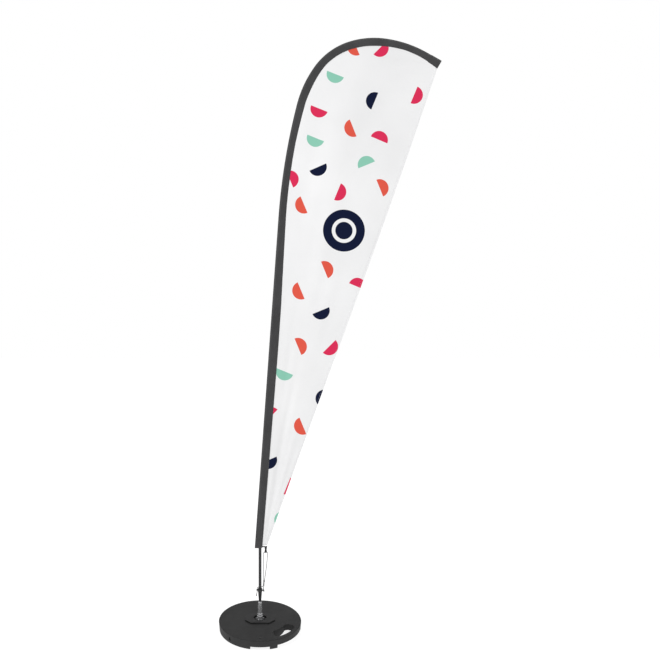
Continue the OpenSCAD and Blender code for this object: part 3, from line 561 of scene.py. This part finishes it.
def half_disc_group():
    """A node group that gives 1 inside a half disc and 0 outside it, for its centre and its turn."""
    group = bpy.data.node_groups.new("half_disc", "ShaderNodeTree")
    face = group.interface
    face.new_socket("At", in_out="INPUT", socket_type="NodeSocketVector")
    face.new_socket("Centre", in_out="INPUT", socket_type="NodeSocketVector")
    face.new_socket("Turn", in_out="INPUT", socket_type="NodeSocketFloat")
    face.new_socket("Inside", in_out="OUTPUT", socket_type="NodeSocketFloat")
    made = group.nodes.new
    link = group.links.new
    source = made("NodeGroupInput")
    result = made("NodeGroupOutput")
    shift = made("ShaderNodeVectorMath")
    shift.operation = "SUBTRACT"
    turn = made("ShaderNodeVectorRotate")
    turn.rotation_type = "Z_AXIS"
    turn.invert = True
    back = made("ShaderNodeVectorMath")
    back.operation = "ADD"
    centroid = 4 * HALF_DISC_R / (3 * math.pi)   # from the straight side to the shape's middle
    back.inputs[1].default_value = (centroid, 0, 0)
    size = made("ShaderNodeVectorMath")
    size.operation = "LENGTH"
    parts = made("ShaderNodeSeparateXYZ")
    link(source.outputs["At"], shift.inputs[0])
    link(source.outputs["Centre"], shift.inputs[1])
    link(shift.outputs[0], turn.inputs["Vector"])
    link(source.outputs["Turn"], turn.inputs["Angle"])
    link(turn.outputs[0], back.inputs[0])
    link(back.outputs[0], size.inputs[0])
    link(back.outputs[0], parts.inputs[0])
    ramps = []
    for value, low, high in (
            (size.outputs["Value"], HALF_DISC_R + PRINT_SOFT, HALF_DISC_R - PRINT_SOFT),
            (parts.outputs["X"], -PRINT_SOFT, PRINT_SOFT)):
        ramp = made("ShaderNodeMapRange")
        ramp.inputs[1].default_value = low
        ramp.inputs[2].default_value = high
        link(value, ramp.inputs[0])
        ramps.append(ramp)
    both = made("ShaderNodeMath")
    both.operation = "MULTIPLY"
    for i, ramp in enumerate(ramps):
        link(ramp.outputs[0], both.inputs[i])
    link(both.outputs[0], result.inputs["Inside"])
    return group


def printed_cloth(name):
    """White knitted polyester, printed with scattered half discs and a plain round emblem."""
    m = Shader(name, Sheen_Weight=0.03, Sheen_Roughness=0.5, Specular_IOR_Level=0.12)
    flat = m.cut()
    weave = weave_height(m, flat, 0.8 * MM, 0.2)
    cloud = m.noise(flat, 2.3, 4, 0.5)
    colour = m.mix(m.spread(cloud, 0.35, 0.65), (0.80, 0.80, 0.805), (0.845, 0.845, 0.85))
    # painted shade: the white cloth is darkened a little in the low gaps between the threads
    colour = m.mix(m.spread(weave, 0.0, 0.35, 0.10, 0), colour, (0.1, 0.1, 0.1))
    group = half_disc_group()
    for ink in (ORANGE, CRIMSON, MINT, NAVY):
        covered = None
        for x, z, turn, used in SCATTER:
            if used is not ink:
                continue
            shape = m.node("ShaderNodeGroup", node_tree=group)
            m.feed(shape, At=flat, Centre=(x, z, 0), Turn=math.radians(STEP * turn))
            inside = shape.outputs["Inside"]
            covered = inside if covered is None else m.math("MAXIMUM", covered, inside)
        colour = m.mix(covered, colour, ink)
    distance = m.node("ShaderNodeVectorMath", operation="DISTANCE")
    away = m.feed(distance, i0=flat, i1=(*EMBLEM, 0)).outputs["Value"]
    disc = m.spread(away, EMBLEM_R + EMBLEM_SOFT, EMBLEM_R - EMBLEM_SOFT)
    off_ring = m.math("ABSOLUTE", m.math("SUBTRACT", away, RING_MID_R))
    ring = m.spread(off_ring, RING_HALF_W + EMBLEM_SOFT, RING_HALF_W - EMBLEM_SOFT)
    colour = m.mix(disc, colour, NAVY)
    colour = m.mix(ring, colour, RING_WHITE)
    m.set("Base_Color", colour)
    m.set("Roughness", m.spread(cloud, 0.3, 0.7, 0.68, 0.78))
    m.bump(weave, 0.25, 0.15 * MM)
    return m.material


# ---------- Flag panel ----------
def dress(ob, material, body, node=None):
    """Gives a piece its material, the body it rides on and the CAD node that it replaces."""
    ob.data.materials.append(material)
    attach(ob, body)
    if node is not None:
        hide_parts(node)
    return ob


def panel_station(t):
    return PANEL_START + t * (ROUTE_LEN - PANEL_START)


def fold_depth(u, t):
    """Soft folds that fan out from the ends and lie along the height, u across from the sleeve."""
    hold = math.sin(math.pi * min(1, max(0, u))) ** 0.8
    ends = min(1.0, 6 * t + 0.15) * min(1.0, 5 * (1 - t) + 0.05)
    swell = 9 * MM * wave(0.8 * t + 0.1 + 0.25 * u)
    long_folds = 4.5 * MM * wave(1.9 * u + 1.1 * t + 0.2) * (0.5 + 0.5 * wave(1.7 * t + 0.1))
    small_folds = 1.6 * MM * wave(4.3 * u - 2.6 * t) * (0.5 + 0.5 * wave(3.3 * t + u))
    return hold * ends * (swell + long_folds + small_folds)


def flag_panel():
    rows = 260
    cols = 64
    tuck = 3 * MM                # how far the panel reaches under the sleeve's edge
    verts, uv = [], []
    for i in range(rows + 1):
        t = i / rows
        s = panel_station(t)
        left = beside(s, seam(s) + tuck)
        right = free_edge(t, 0.5 * HEM_W)
        for k in range(cols + 1):
            u = k / cols
            p = left.lerp(right, u)
            verts.append(Vector((p.x, p.y + fold_depth(u, t), p.z)))
            uv.append((p.x, p.z))
    w = cols + 1
    faces = [(i * w + k, i * w + k + 1, (i + 1) * w + k + 1, (i + 1) * w + k)
             for i in range(rows) for k in range(cols)]
    ob = new_mesh("printed_panel", verts, faces, uv)
    apply_modifier(ob, "cloth_thickness", "SOLIDIFY", thickness=0.5 * MM, offset=0.0)
    return dress(ob, PRINTED, "pole", "flag_panel")


# ---------- Sleeve ----------
def tube_radius(s):
    """The pole's radius, with the band round the end of each section."""
    bands = sum(0.8 * MM for end in SECTION_ENDS if end - 40 * MM < s < end + 4 * MM)
    return TUBE_R - TUBE_STEP * sum(s > end + 4 * MM for end in SECTION_ENDS) + bands


def pole_offset(s):
    """Where the pole's middle lies across the sleeve: on its line, except in the bend low down."""
    if s >= LEAN_S:
        return 0.0
    x, z, a = sleeve_at(s)
    px, pz, _ = pole_at(s)
    return -(px - x) * math.cos(a) + (pz - z) * math.sin(a)


def sleeve_half_depth(off, s):
    """Half of the sleeve's thickness at off: round the pole, then in to the fold and the seam."""
    flange = 9 * MM
    thin = 0.8 * MM
    centre = pole_offset(s)
    full = tube_radius(s) + 1.1 * MM
    away = off - centre
    reach = EDGE_GAP - centre if away > 0 else centre - (seam(s) + flange)
    round_part = math.sqrt(max(0.0, full * full - away * away))
    # the cloth leaves the pole on a slanting straight line toward each side
    slant = full * max(0.0, 1 - abs(away) / max(reach, full + 1 * MM)) ** 1.15
    return max(thin, max(round_part, slant) if abs(away) < full else slant)


TIGHT_S = 3.05                   # where along the pole the tight bend gathers the cloth most
TIGHT_REACH = 0.28
GATHER_PITCH = 21 * MM           # from one wrinkle to the next in the tight bend
DRAG_PITCH = 83 * MM             # and elsewhere


def sleeve_ripple(off, s, side):
    """Small wrinkles across the sleeve, strongest inside the tight bend at the top."""
    tight = math.exp(-((s - TIGHT_S) / TIGHT_REACH) ** 2)
    inner = min(1.0, max(0.0, (EDGE_GAP - 4 * MM - off) / (12 * MM)))
    gather = 0.55 * MM * tight * inner * math.sin(TAU * s / GATHER_PITCH + 1.5 * wave(s / 0.13))
    slant = math.sin(TAU * (s / DRAG_PITCH + off / 0.035) + 2 * side)
    return gather + 0.35 * MM * slant * wave(s / 0.41) ** 2


def sleeve_ring(s, grow=0.0):
    """The sleeve's section at s, from the outer fold down the front and back up behind."""
    n = 26                       # points from the outer fold to the inner edge
    ring = []
    hang = BOTTOM_SKEW * max(0.0, 1 - (s - SLEEVE_START) / 0.05) ** 2
    for side in (-1, 1):
        ks = range(n + 1) if side < 0 else range(n - 1, 0, -1)
        for k in ks:
            u = k / n
            off = EDGE_GAP - sleeve_width(s) * u
            edge = min(1.0, 8 * u, 8 * (1 - u))
            y = (sleeve_half_depth(off, s) + grow) * math.sqrt(edge) + sleeve_ripple(off, s, side) * edge
            push = grow if k == 0 else (-grow if k == n else 0.0)
            lower = hang * (1 - u) ** 1.5
            ring.append(beside(s - lower, off + push, side * y if 0 < k < n else 0.0))
    return ring


def sleeve_uv(stations, around):
    return [(s, SLEEVE_GIRTH * k / around) for s in stations for k in range(around)]


def flag_sleeve():
    count = 430
    length = ROUTE_LEN - 2 * MM - SLEEVE_START
    stations = [SLEEVE_START + length * i / count for i in range(count + 1)]
    rings = [sleeve_ring(s) for s in stations]
    uv = sleeve_uv(stations, len(rings[0]))
    ob = skin("pole_sleeve", rings, caps=False, uv=uv, sharp=None)
    apply_modifier(ob, "cloth_thickness", "SOLIDIFY", thickness=0.7 * MM, offset=-1.0)
    return dress(ob, SLEEVE, "pole", "flag_sleeve")


def tip_pocket():
    """The doubled end of the sleeve that holds the rod's cap: closed past the end."""
    start = ROUTE_LEN - POCKET_LEN
    fractions = (0, 0.02, 0.05, 0.25, 0.5, 0.75, 0.9, 0.96, 1.0)
    stations = [start + POCKET_LEN * f for f in fractions]
    grows = [0.3 * MM] + [1.1 * MM] * (len(fractions) - 2) + [0.7 * MM]
    rings = [sleeve_ring(s, g) for s, g in zip(stations, grows)]
    last = rings[-1]
    centre = sum(last, Vector()) / len(last)
    end = beside(ROUTE_LEN + 1.1 * MM, 0) - beside(ROUTE_LEN - 1 * MM, 0)
    rings.append([p + end * 0.6 + (centre - p) * Vector((0.03, 0.4, 0.03)) for p in last])
    uv = sleeve_uv(stations + [ROUTE_LEN + 1 * MM], len(last))
    ob = skin("tip_pocket_cloth", rings, caps=True, uv=uv, sharp=60)
    return dress(ob, SLEEVE, "pole", "tip_pocket")


# ---------- Hem, binding and tab ----------
def hem_pucker(t):
    """How the stitches draw the hem thinner and let it swell between them."""
    return 1 + 0.12 * math.sin(TAU * t * 170) * math.sin(TAU * t * 11)


def squared(c):
    """Turns a circle's sine or cosine into that of a rounded box."""
    return math.copysign(abs(c) ** 0.6, c)


def free_edge_hem():
    """The free edge turned over twice: a flat roll that follows the panel's edge."""
    count = 360
    rings, uv = [], []
    # (inset from the edge, half thickness) in millimetres
    section = ((0.0, 0.0), (0.8, 0.75), (2.2, 0.95), (8.6, 0.85), (10.4, 0.7), (11.0, 0.0),
               (10.4, -0.7), (8.6, -0.85), (2.2, -0.95), (0.8, -0.75))
    for i in range(count + 1):
        t = i / count
        pucker = hem_pucker(t)
        ring = []
        for inset, half in section:
            p = free_edge(t, inset * MM)
            ring.append(Vector((p.x, p.y + half * MM * pucker, p.z)))
            uv.append((p.x, p.z))
        rings.append(ring)
    ob = skin("free_edge_hem_roll", rings, uv=uv, sharp=None)
    return dress(ob, PRINTED, "pole", "free_edge_hem")


def bottom_binding():
    """Tape folded over the panel's bottom edge, from the sleeve to the free corner."""
    low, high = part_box("bottom_binding")
    mid_z = (low.z + high.z) / 2
    half_h = (high.z - low.z) / 2
    half_t = 1.7 * MM
    count = 14
    around = 16
    rings = []
    for i in range(count + 1):
        x = low.x + (high.x - low.x) * i / count
        dip = 0.5 * MM * math.sin(math.pi * i / count)
        ring = []
        for k in range(around):
            a = TAU * k / around
            z = half_h * squared(math.sin(a))
            ring.append(Vector((x, half_t * squared(math.cos(a)), mid_z - dip + z)))
        rings.append(ring)
    ob = skin("bottom_binding_tape", rings, sharp=None)
    return dress(ob, TAPE_X, "pole", "bottom_binding")


def webbing_tab():
    """A webbing loop sewn under the flag's corner: down in front, round the cord, up behind."""
    low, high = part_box("webbing_tab")
    mid_x = (low.x + high.x) / 2
    half_w = (high.x - low.x) / 2
    tunnel = low.z + 5 * MM      # the height of the tunnel's middle
    round_r = 2.9 * MM
    half_t = 0.6 * MM
    line = [(-1.0 * MM, high.z + 2 * MM), (-1.4 * MM, high.z - 7 * MM), (-1.0 * MM, high.z - 14 * MM)]
    line += [(round_r * math.cos(math.radians(a)), tunnel + round_r * math.sin(math.radians(a)))
             for a in range(150, 391, 15)]
    line += [(1.0 * MM, high.z - 14 * MM), (1.4 * MM, high.z - 7 * MM), (1.0 * MM, high.z + 2 * MM)]
    line = smooth_line([(0, y, z) for y, z in line], 0.8 * MM)
    rings = []
    for i, p in enumerate(line):
        along = (line[min(i + 1, len(line) - 1)] - line[max(i - 1, 0)]).normalized()
        out = Vector((0, -along.z, along.y))
        waist = math.exp(-((p.z - (high.z - 13 * MM)) / (5 * MM)) ** 2)
        w = half_w * (1 - 0.2 * waist)
        ring = []
        for x, y in ((-1, 0), (-0.9, 1), (0.9, 1), (1, 0), (0.9, -1), (-0.9, -1)):
            ring.append(Vector((mid_x + x * w, p.y, p.z)) + out * (y * half_t))
        rings.append(ring)
    ob = skin("webbing_loop", rings, sharp=40)
    return dress(ob, TAPE_Z, "pole", "webbing_tab")


# ---------- Elastic cord ----------
CORD_R = 1.6 * MM
KNOT_LOW, KNOT_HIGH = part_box("cord_knot")
KNOT_X = (KNOT_LOW.x + KNOT_HIGH.x) / 2
RING_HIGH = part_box("hook_ring")[1]
RING_Z = RING_HIGH.z - 16 * MM   # a height on the ring that its hook and eyelet are placed from
CORD_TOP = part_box("elastic_cord")[1].z - CORD_R


def cord_piece(name, points, body, node):
    return dress(braided_cord(name, points, CORD_R), CORD, body, node)


def cord_point(x, share):
    """A point of the taut cord at a share of the height from the knot to the webbing loop."""
    return Vector((KNOT_X + x, 0, KNOT_HIGH.z + share * (CORD_TOP - KNOT_HIGH.z)))


def taut_cord():
    """The stretched part: up from the knot, through the webbing loop and down again."""
    turn = ((-2, -8), (-1.2, -3), (1, 0), (9, 0), (16, 0), (18.4, -3), (19, -8))
    front = ((-1.7, -0.004), (-2, 0.1), (-2.3, 0.38), (-2.2, 0.7))
    points = [cord_point(x * MM, k) for x, k in front]
    points += [Vector((KNOT_X + x * MM, 0, CORD_TOP + z * MM)) for x, z in turn]
    back = ((17.2, 0.76), (14, 0.54), (9, 0.3), (5.2, 0.12), (1.7, -0.004))
    points += [cord_point(x * MM, k) for x, k in back]
    ob = cord_piece("elastic_cord_braid", points, "pole", "elastic_cord")
    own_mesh(ob)
    return ob


def hook_loop():
    """From the knot down to the hook, under it and up again behind."""
    r = 2.5 * MM + CORD_R + 0.5 * MM
    hook_x = KNOT_X - 4 * MM
    hook_z = RING_Z + 5.4 * MM
    top = KNOT_LOW.z
    down = ((KNOT_X + 0.8 * MM, 2.2 * MM, top + 1 * MM), (KNOT_X + 0.2 * MM, 2.5 * MM, top - 13 * MM),
            (KNOT_X - 1.7 * MM, 3.6 * MM, hook_z + 17 * MM), (hook_x + 0.2 * MM, r, hook_z + 6 * MM))
    arc = [(hook_x, r * math.cos(math.radians(a)), hook_z - r * math.sin(math.radians(a)))
           for a in range(0, 181, 30)]
    points = list(down) + arc + [(x, -y, z) for x, y, z in reversed(down)]
    return cord_piece("hook_loop_braid", points, "tensioner", "cord_hook_loop")


def cord_tail():
    """The spare end: from the knot behind the tube, then down through the eyelet to its own knot."""
    x = KNOT_X / MM
    k = KNOT_LOW.z / MM
    w = RING_HIGH.z / MM + 4     # the height at which it crosses behind the tube
    e = RING_Z / MM
    eye = -16
    points = [(x - 2.3, 0, k + 1), (x - 2.6, 1.2, k - 8), (x - 3.8, 4.4, k - 20), (15.2, 7.6, w + 4),
              (10.5, 10.8, w + 0.6), (4, 12.8, w), (-3, 12.8, w - 0.4), (-9.5, 9.8, w - 0.8),
              (eye + 2, 5.2, w - 1.6), (eye + 0.2, 1.4, w - 4), (eye, 0.2, w - 8), (eye, 0, e + 8),
              (eye, 0, e + 1), (eye - 0.5, 0, e - 6), (eye - 2, 0, e - 12), (eye - 4, 0, e - 18)]
    points = [(x * MM, y * MM, z * MM) for x, y, z in points]
    return cord_piece("cord_tail_braid", points, "tensioner", "cord_tail")


def knot(name, node, radius):
    """An overhand knot drawn tight: a trefoil of cord filling the node's box."""
    low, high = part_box(node)
    centre, half = (low + high) / 2, (high - low) / 2
    fit = Vector(((half.x - radius) / 3, (half.y - radius) / 3, (half.z - radius) / 1.5))
    count = 60
    points = []
    for i in range(count + 1):
        a = TAU * i / count
        x = math.sin(a) + 2 * math.sin(2 * a)
        y = math.cos(a) - 2 * math.cos(2 * a)
        z = -1.5 * math.sin(3 * a)
        points.append(centre + Vector((x * fit.x, y * fit.y, z * fit.z)))
    ob = braided_cord(name, points, radius, relief=0.04)
    return dress(ob, CORD, "tensioner", node)


# ---------- Stitching ----------
def sleeve_stitching():
    """Two rows of stitches down the seam where the panel is sewn to the sleeve, front and back."""
    places = []
    pitch = 4.2 * MM
    for row in (3.2 * MM, 7.4 * MM):   # from the sleeve's inner edge
        s = SLEEVE_START + 6 * MM
        while s < ROUTE_LEN - POCKET_LEN:
            off = seam(s) + row
            along = (beside(s + 1 * MM, off) - beside(s - 1 * MM, off)).normalized()
            edge = min(1.0, 8 * (EDGE_GAP - off) / sleeve_width(s), 8 * row / sleeve_width(s))
            for side in (-1, 1):
                y = sleeve_half_depth(off, s) * math.sqrt(edge) + sleeve_ripple(off, s, side) * edge
                places.append((beside(s, off, side * (y + 0.05 * MM)), along, Vector((0, side, 0))))
            s += pitch
    ob = stitches("sleeve_stitching", places, 3.3 * MM, 0.24 * MM)
    return dress(ob, DARK_THREAD, "pole")


def hem_stitching():
    """One row of stitches along the hem's inner edge, front and back."""
    places = []
    count = 680
    inset = 8 * MM
    for i in range(3, count - 16):
        t = i / count
        p = free_edge(t, inset)
        along = (free_edge(t + 0.001, inset) - p).normalized()
        pucker = hem_pucker(t)
        for side in (-1, 1):
            out = Vector((0, side, 0))
            places.append((p + out * (0.86 * MM * pucker + 0.04 * MM), along, out))
    ob = stitches("hem_stitching", places, 3.1 * MM, 0.22 * MM)
    return dress(ob, WHITE_THREAD, "pole")


# ---------- Materials ----------
PRINTED = printed_cloth("printed_cloth")
SLEEVE = sleeve_cloth("sleeve_cloth")
TAPE_X = tape_cloth("binding_tape", "X")
TAPE_Z = tape_cloth("tab_webbing", "Z")
CORD = cord_cloth("elastic_braid")
DARK_THREAD = thread_cloth("dark_thread", (0.05, 0.05, 0.053))
WHITE_THREAD = thread_cloth("white_thread", (0.8, 0.8, 0.81))
SHELL = moulded_plastic("shell_plastic", (0.0105, 0.0105, 0.0108), 0.66)
BLACK_PLASTIC = moulded_plastic("black_plastic", (0.010, 0.010, 0.011), 0.4, grain=1600, scuffs=0.15)
RUBBER = rubber("black_rubber")
CHROME = plated_metal("chrome", (0.86, 0.865, 0.88), 0.09, metallic=0.8, grime=0.03, relief=0.012)
ZINC = plated_metal("zinc_steel", (0.55, 0.56, 0.58), 0.24)
BEARING = plated_metal("bearing_steel", (0.66, 0.67, 0.69), 0.1, grime=0.15)
BRASS = plated_metal("cage_brass", (0.65, 0.45, 0.18), 0.25)
COATED = coated_tube("black_steel", (0.016, 0.016, 0.018), 0.42, 0.0)
TUBE = coated_tube("black_tube", (0.006, 0.006, 0.0065), 0.5, 0.0)
FIBRE = wound_fibre("black_glassfibre")
CONCRETE = cast_concrete("concrete")
NYLON = nylon("white_nylon")
BY_SLOT = {
    "shell_plastic": SHELL, "concrete": CONCRETE, "black_rubber": RUBBER, "black_plastic": BLACK_PLASTIC,
    "black_steel": COATED, "zinc_steel": ZINC, "bearing_steel": BEARING, "cage_brass": BRASS,
    "chrome": CHROME, "white_nylon": NYLON, "black_tube": TUBE, "black_glassfibre": FIBRE,
    "sleeve_cloth": SLEEVE, "printed_cloth": PRINTED, "black_webbing": TAPE_X, "elastic": CORD,
}


def dress_cad_nodes():
    for part in frame["record"]["subparts"]:
        slots = nodes[part["node"]].data.materials
        slots.clear()
        slots.append(BY_SLOT[part["material_slot"]])


# ---------- Studio ----------
def pale_floor():
    me = bpy.data.meshes.new("floor")
    size = 30.0
    corners = [(-size, -size, 0), (size, -size, 0), (size, size, 0), (-size, size, 0)]
    me.from_pydata(corners, [], [(0, 1, 2, 3)])
    floor = bpy.data.objects.new("floor", me)
    scene.collection.objects.link(floor)
    m = Shader("floor", Base_Color=(0.32, 0.32, 0.32), Roughness=0.95, Specular_IOR_Level=0.0)
    m.set("Emission_Color", (1.0, 1.0, 1.0))
    m.set("Emission_Strength", 0.85)
    me.materials.append(m.material)


def surround():
    """A white studio, brighter on the left. Only gloss sees the bright and dark bands across it."""
    world = bpy.data.worlds.new("studio")
    world.use_nodes = True
    scene.world = world
    tree = world.node_tree

    def made(kind, **values):
        n = tree.nodes.new(kind)
        for key, value in values.items():
            setattr(n, key, value)
        return n

    def remap(value, *limits):
        """A value's low and high, and what they become."""
        n = made("ShaderNodeMapRange")
        tree.links.new(value, n.inputs[0])
        for i, limit in enumerate(limits):
            n.inputs[i + 1].default_value = limit
        return n.outputs[0]

    def choose(ray, otherwise, light):
        """The light that one kind of ray sees, and what the others see."""
        n = made("ShaderNodeMix")
        tree.links.new(ray, n.inputs[0])
        tree.links.new(otherwise, n.inputs[2])
        if hasattr(light, "is_linked"):
            tree.links.new(light, n.inputs[3])
        else:
            n.inputs[3].default_value = light
        return n.outputs[0]

    coords = made("ShaderNodeTexCoord").outputs["Generated"]
    parts = made("ShaderNodeSeparateXYZ")
    tree.links.new(coords, parts.inputs[0])
    shade = remap(parts.outputs["X"], -0.9, 0.9, 0.85, 0.55)
    stripe = made("ShaderNodeTexWave", wave_type="BANDS", bands_direction="X")
    stripe.inputs["Scale"].default_value = 0.7
    tree.links.new(coords, stripe.inputs["Vector"])
    mirror = remap(stripe.outputs["Fac"], 0.35, 0.6, 0.06, 0.9)
    path = made("ShaderNodeLightPath")
    mirrored = choose(path.outputs["Is Glossy Ray"], shade, mirror)
    seen = choose(path.outputs["Is Camera Ray"], mirrored, 1.0)
    back = tree.nodes["Background"]
    tree.links.new(seen, back.inputs["Strength"])
    back.inputs["Color"].default_value = (1.0, 1.0, 1.0, 1.0)


def softbox(name, place, target, size_x, size_y, power):
    """A rectangular light at place, facing target."""
    data = bpy.data.lights.new(name, "AREA")
    data.shape = "RECTANGLE"
    data.size = size_x
    data.size_y = size_y
    data.energy = power
    light = bpy.data.objects.new(name, data)
    light.location = place
    light.rotation_euler = (Vector(target) - Vector(place)).to_track_quat("-Z", "Y").to_euler()
    scene.collection.objects.link(light)


def studio():
    pale_floor()
    surround()
    softbox("key", (-3.0, -2.2, 3.6), (0.2, 0, 1.7), size_x=1.2, size_y=2.4, power=60)
    softbox("fill", (3.4, -2.2, 2.0), (0.2, 0, 1.4), size_x=1.4, size_y=2.6, power=14)
    softbox("rim", (0.6, 3.4, 3.6), (0.2, 0, 1.6), size_x=2.5, size_y=1.6, power=25)
    scene.view_settings.view_transform = "Standard"


def camera():
    """A level camera at the flag's mid height, shifted so that the pole stands left of the middle."""
    data = bpy.data.cameras.new("camera")
    data.sensor_width = 36
    data.lens = 31.7
    data.shift_x = 0.106
    data.clip_end = 60
    ob = bpy.data.objects.new("camera", data)
    ob.location = (0, -3.187, 1.635)
    ob.rotation_euler = (math.pi / 2, 0, 0)
    scene.collection.objects.link(ob)
    scene.camera = ob


camera()
dress_cad_nodes()
taut_cord()
hook_loop()
cord_tail()
knot("cord_knot_braid", "cord_knot", 1.5 * MM)
knot("tail_knot_braid", "tail_knot", 1.1 * MM)
panel = flag_panel()
sleeve = flag_sleeve()
pocket = tip_pocket()
hem = free_edge_hem()
binding = bottom_binding()
tab = webbing_tab()
seam_rows = sleeve_stitching()
hem_rows = hem_stitching()
studio()
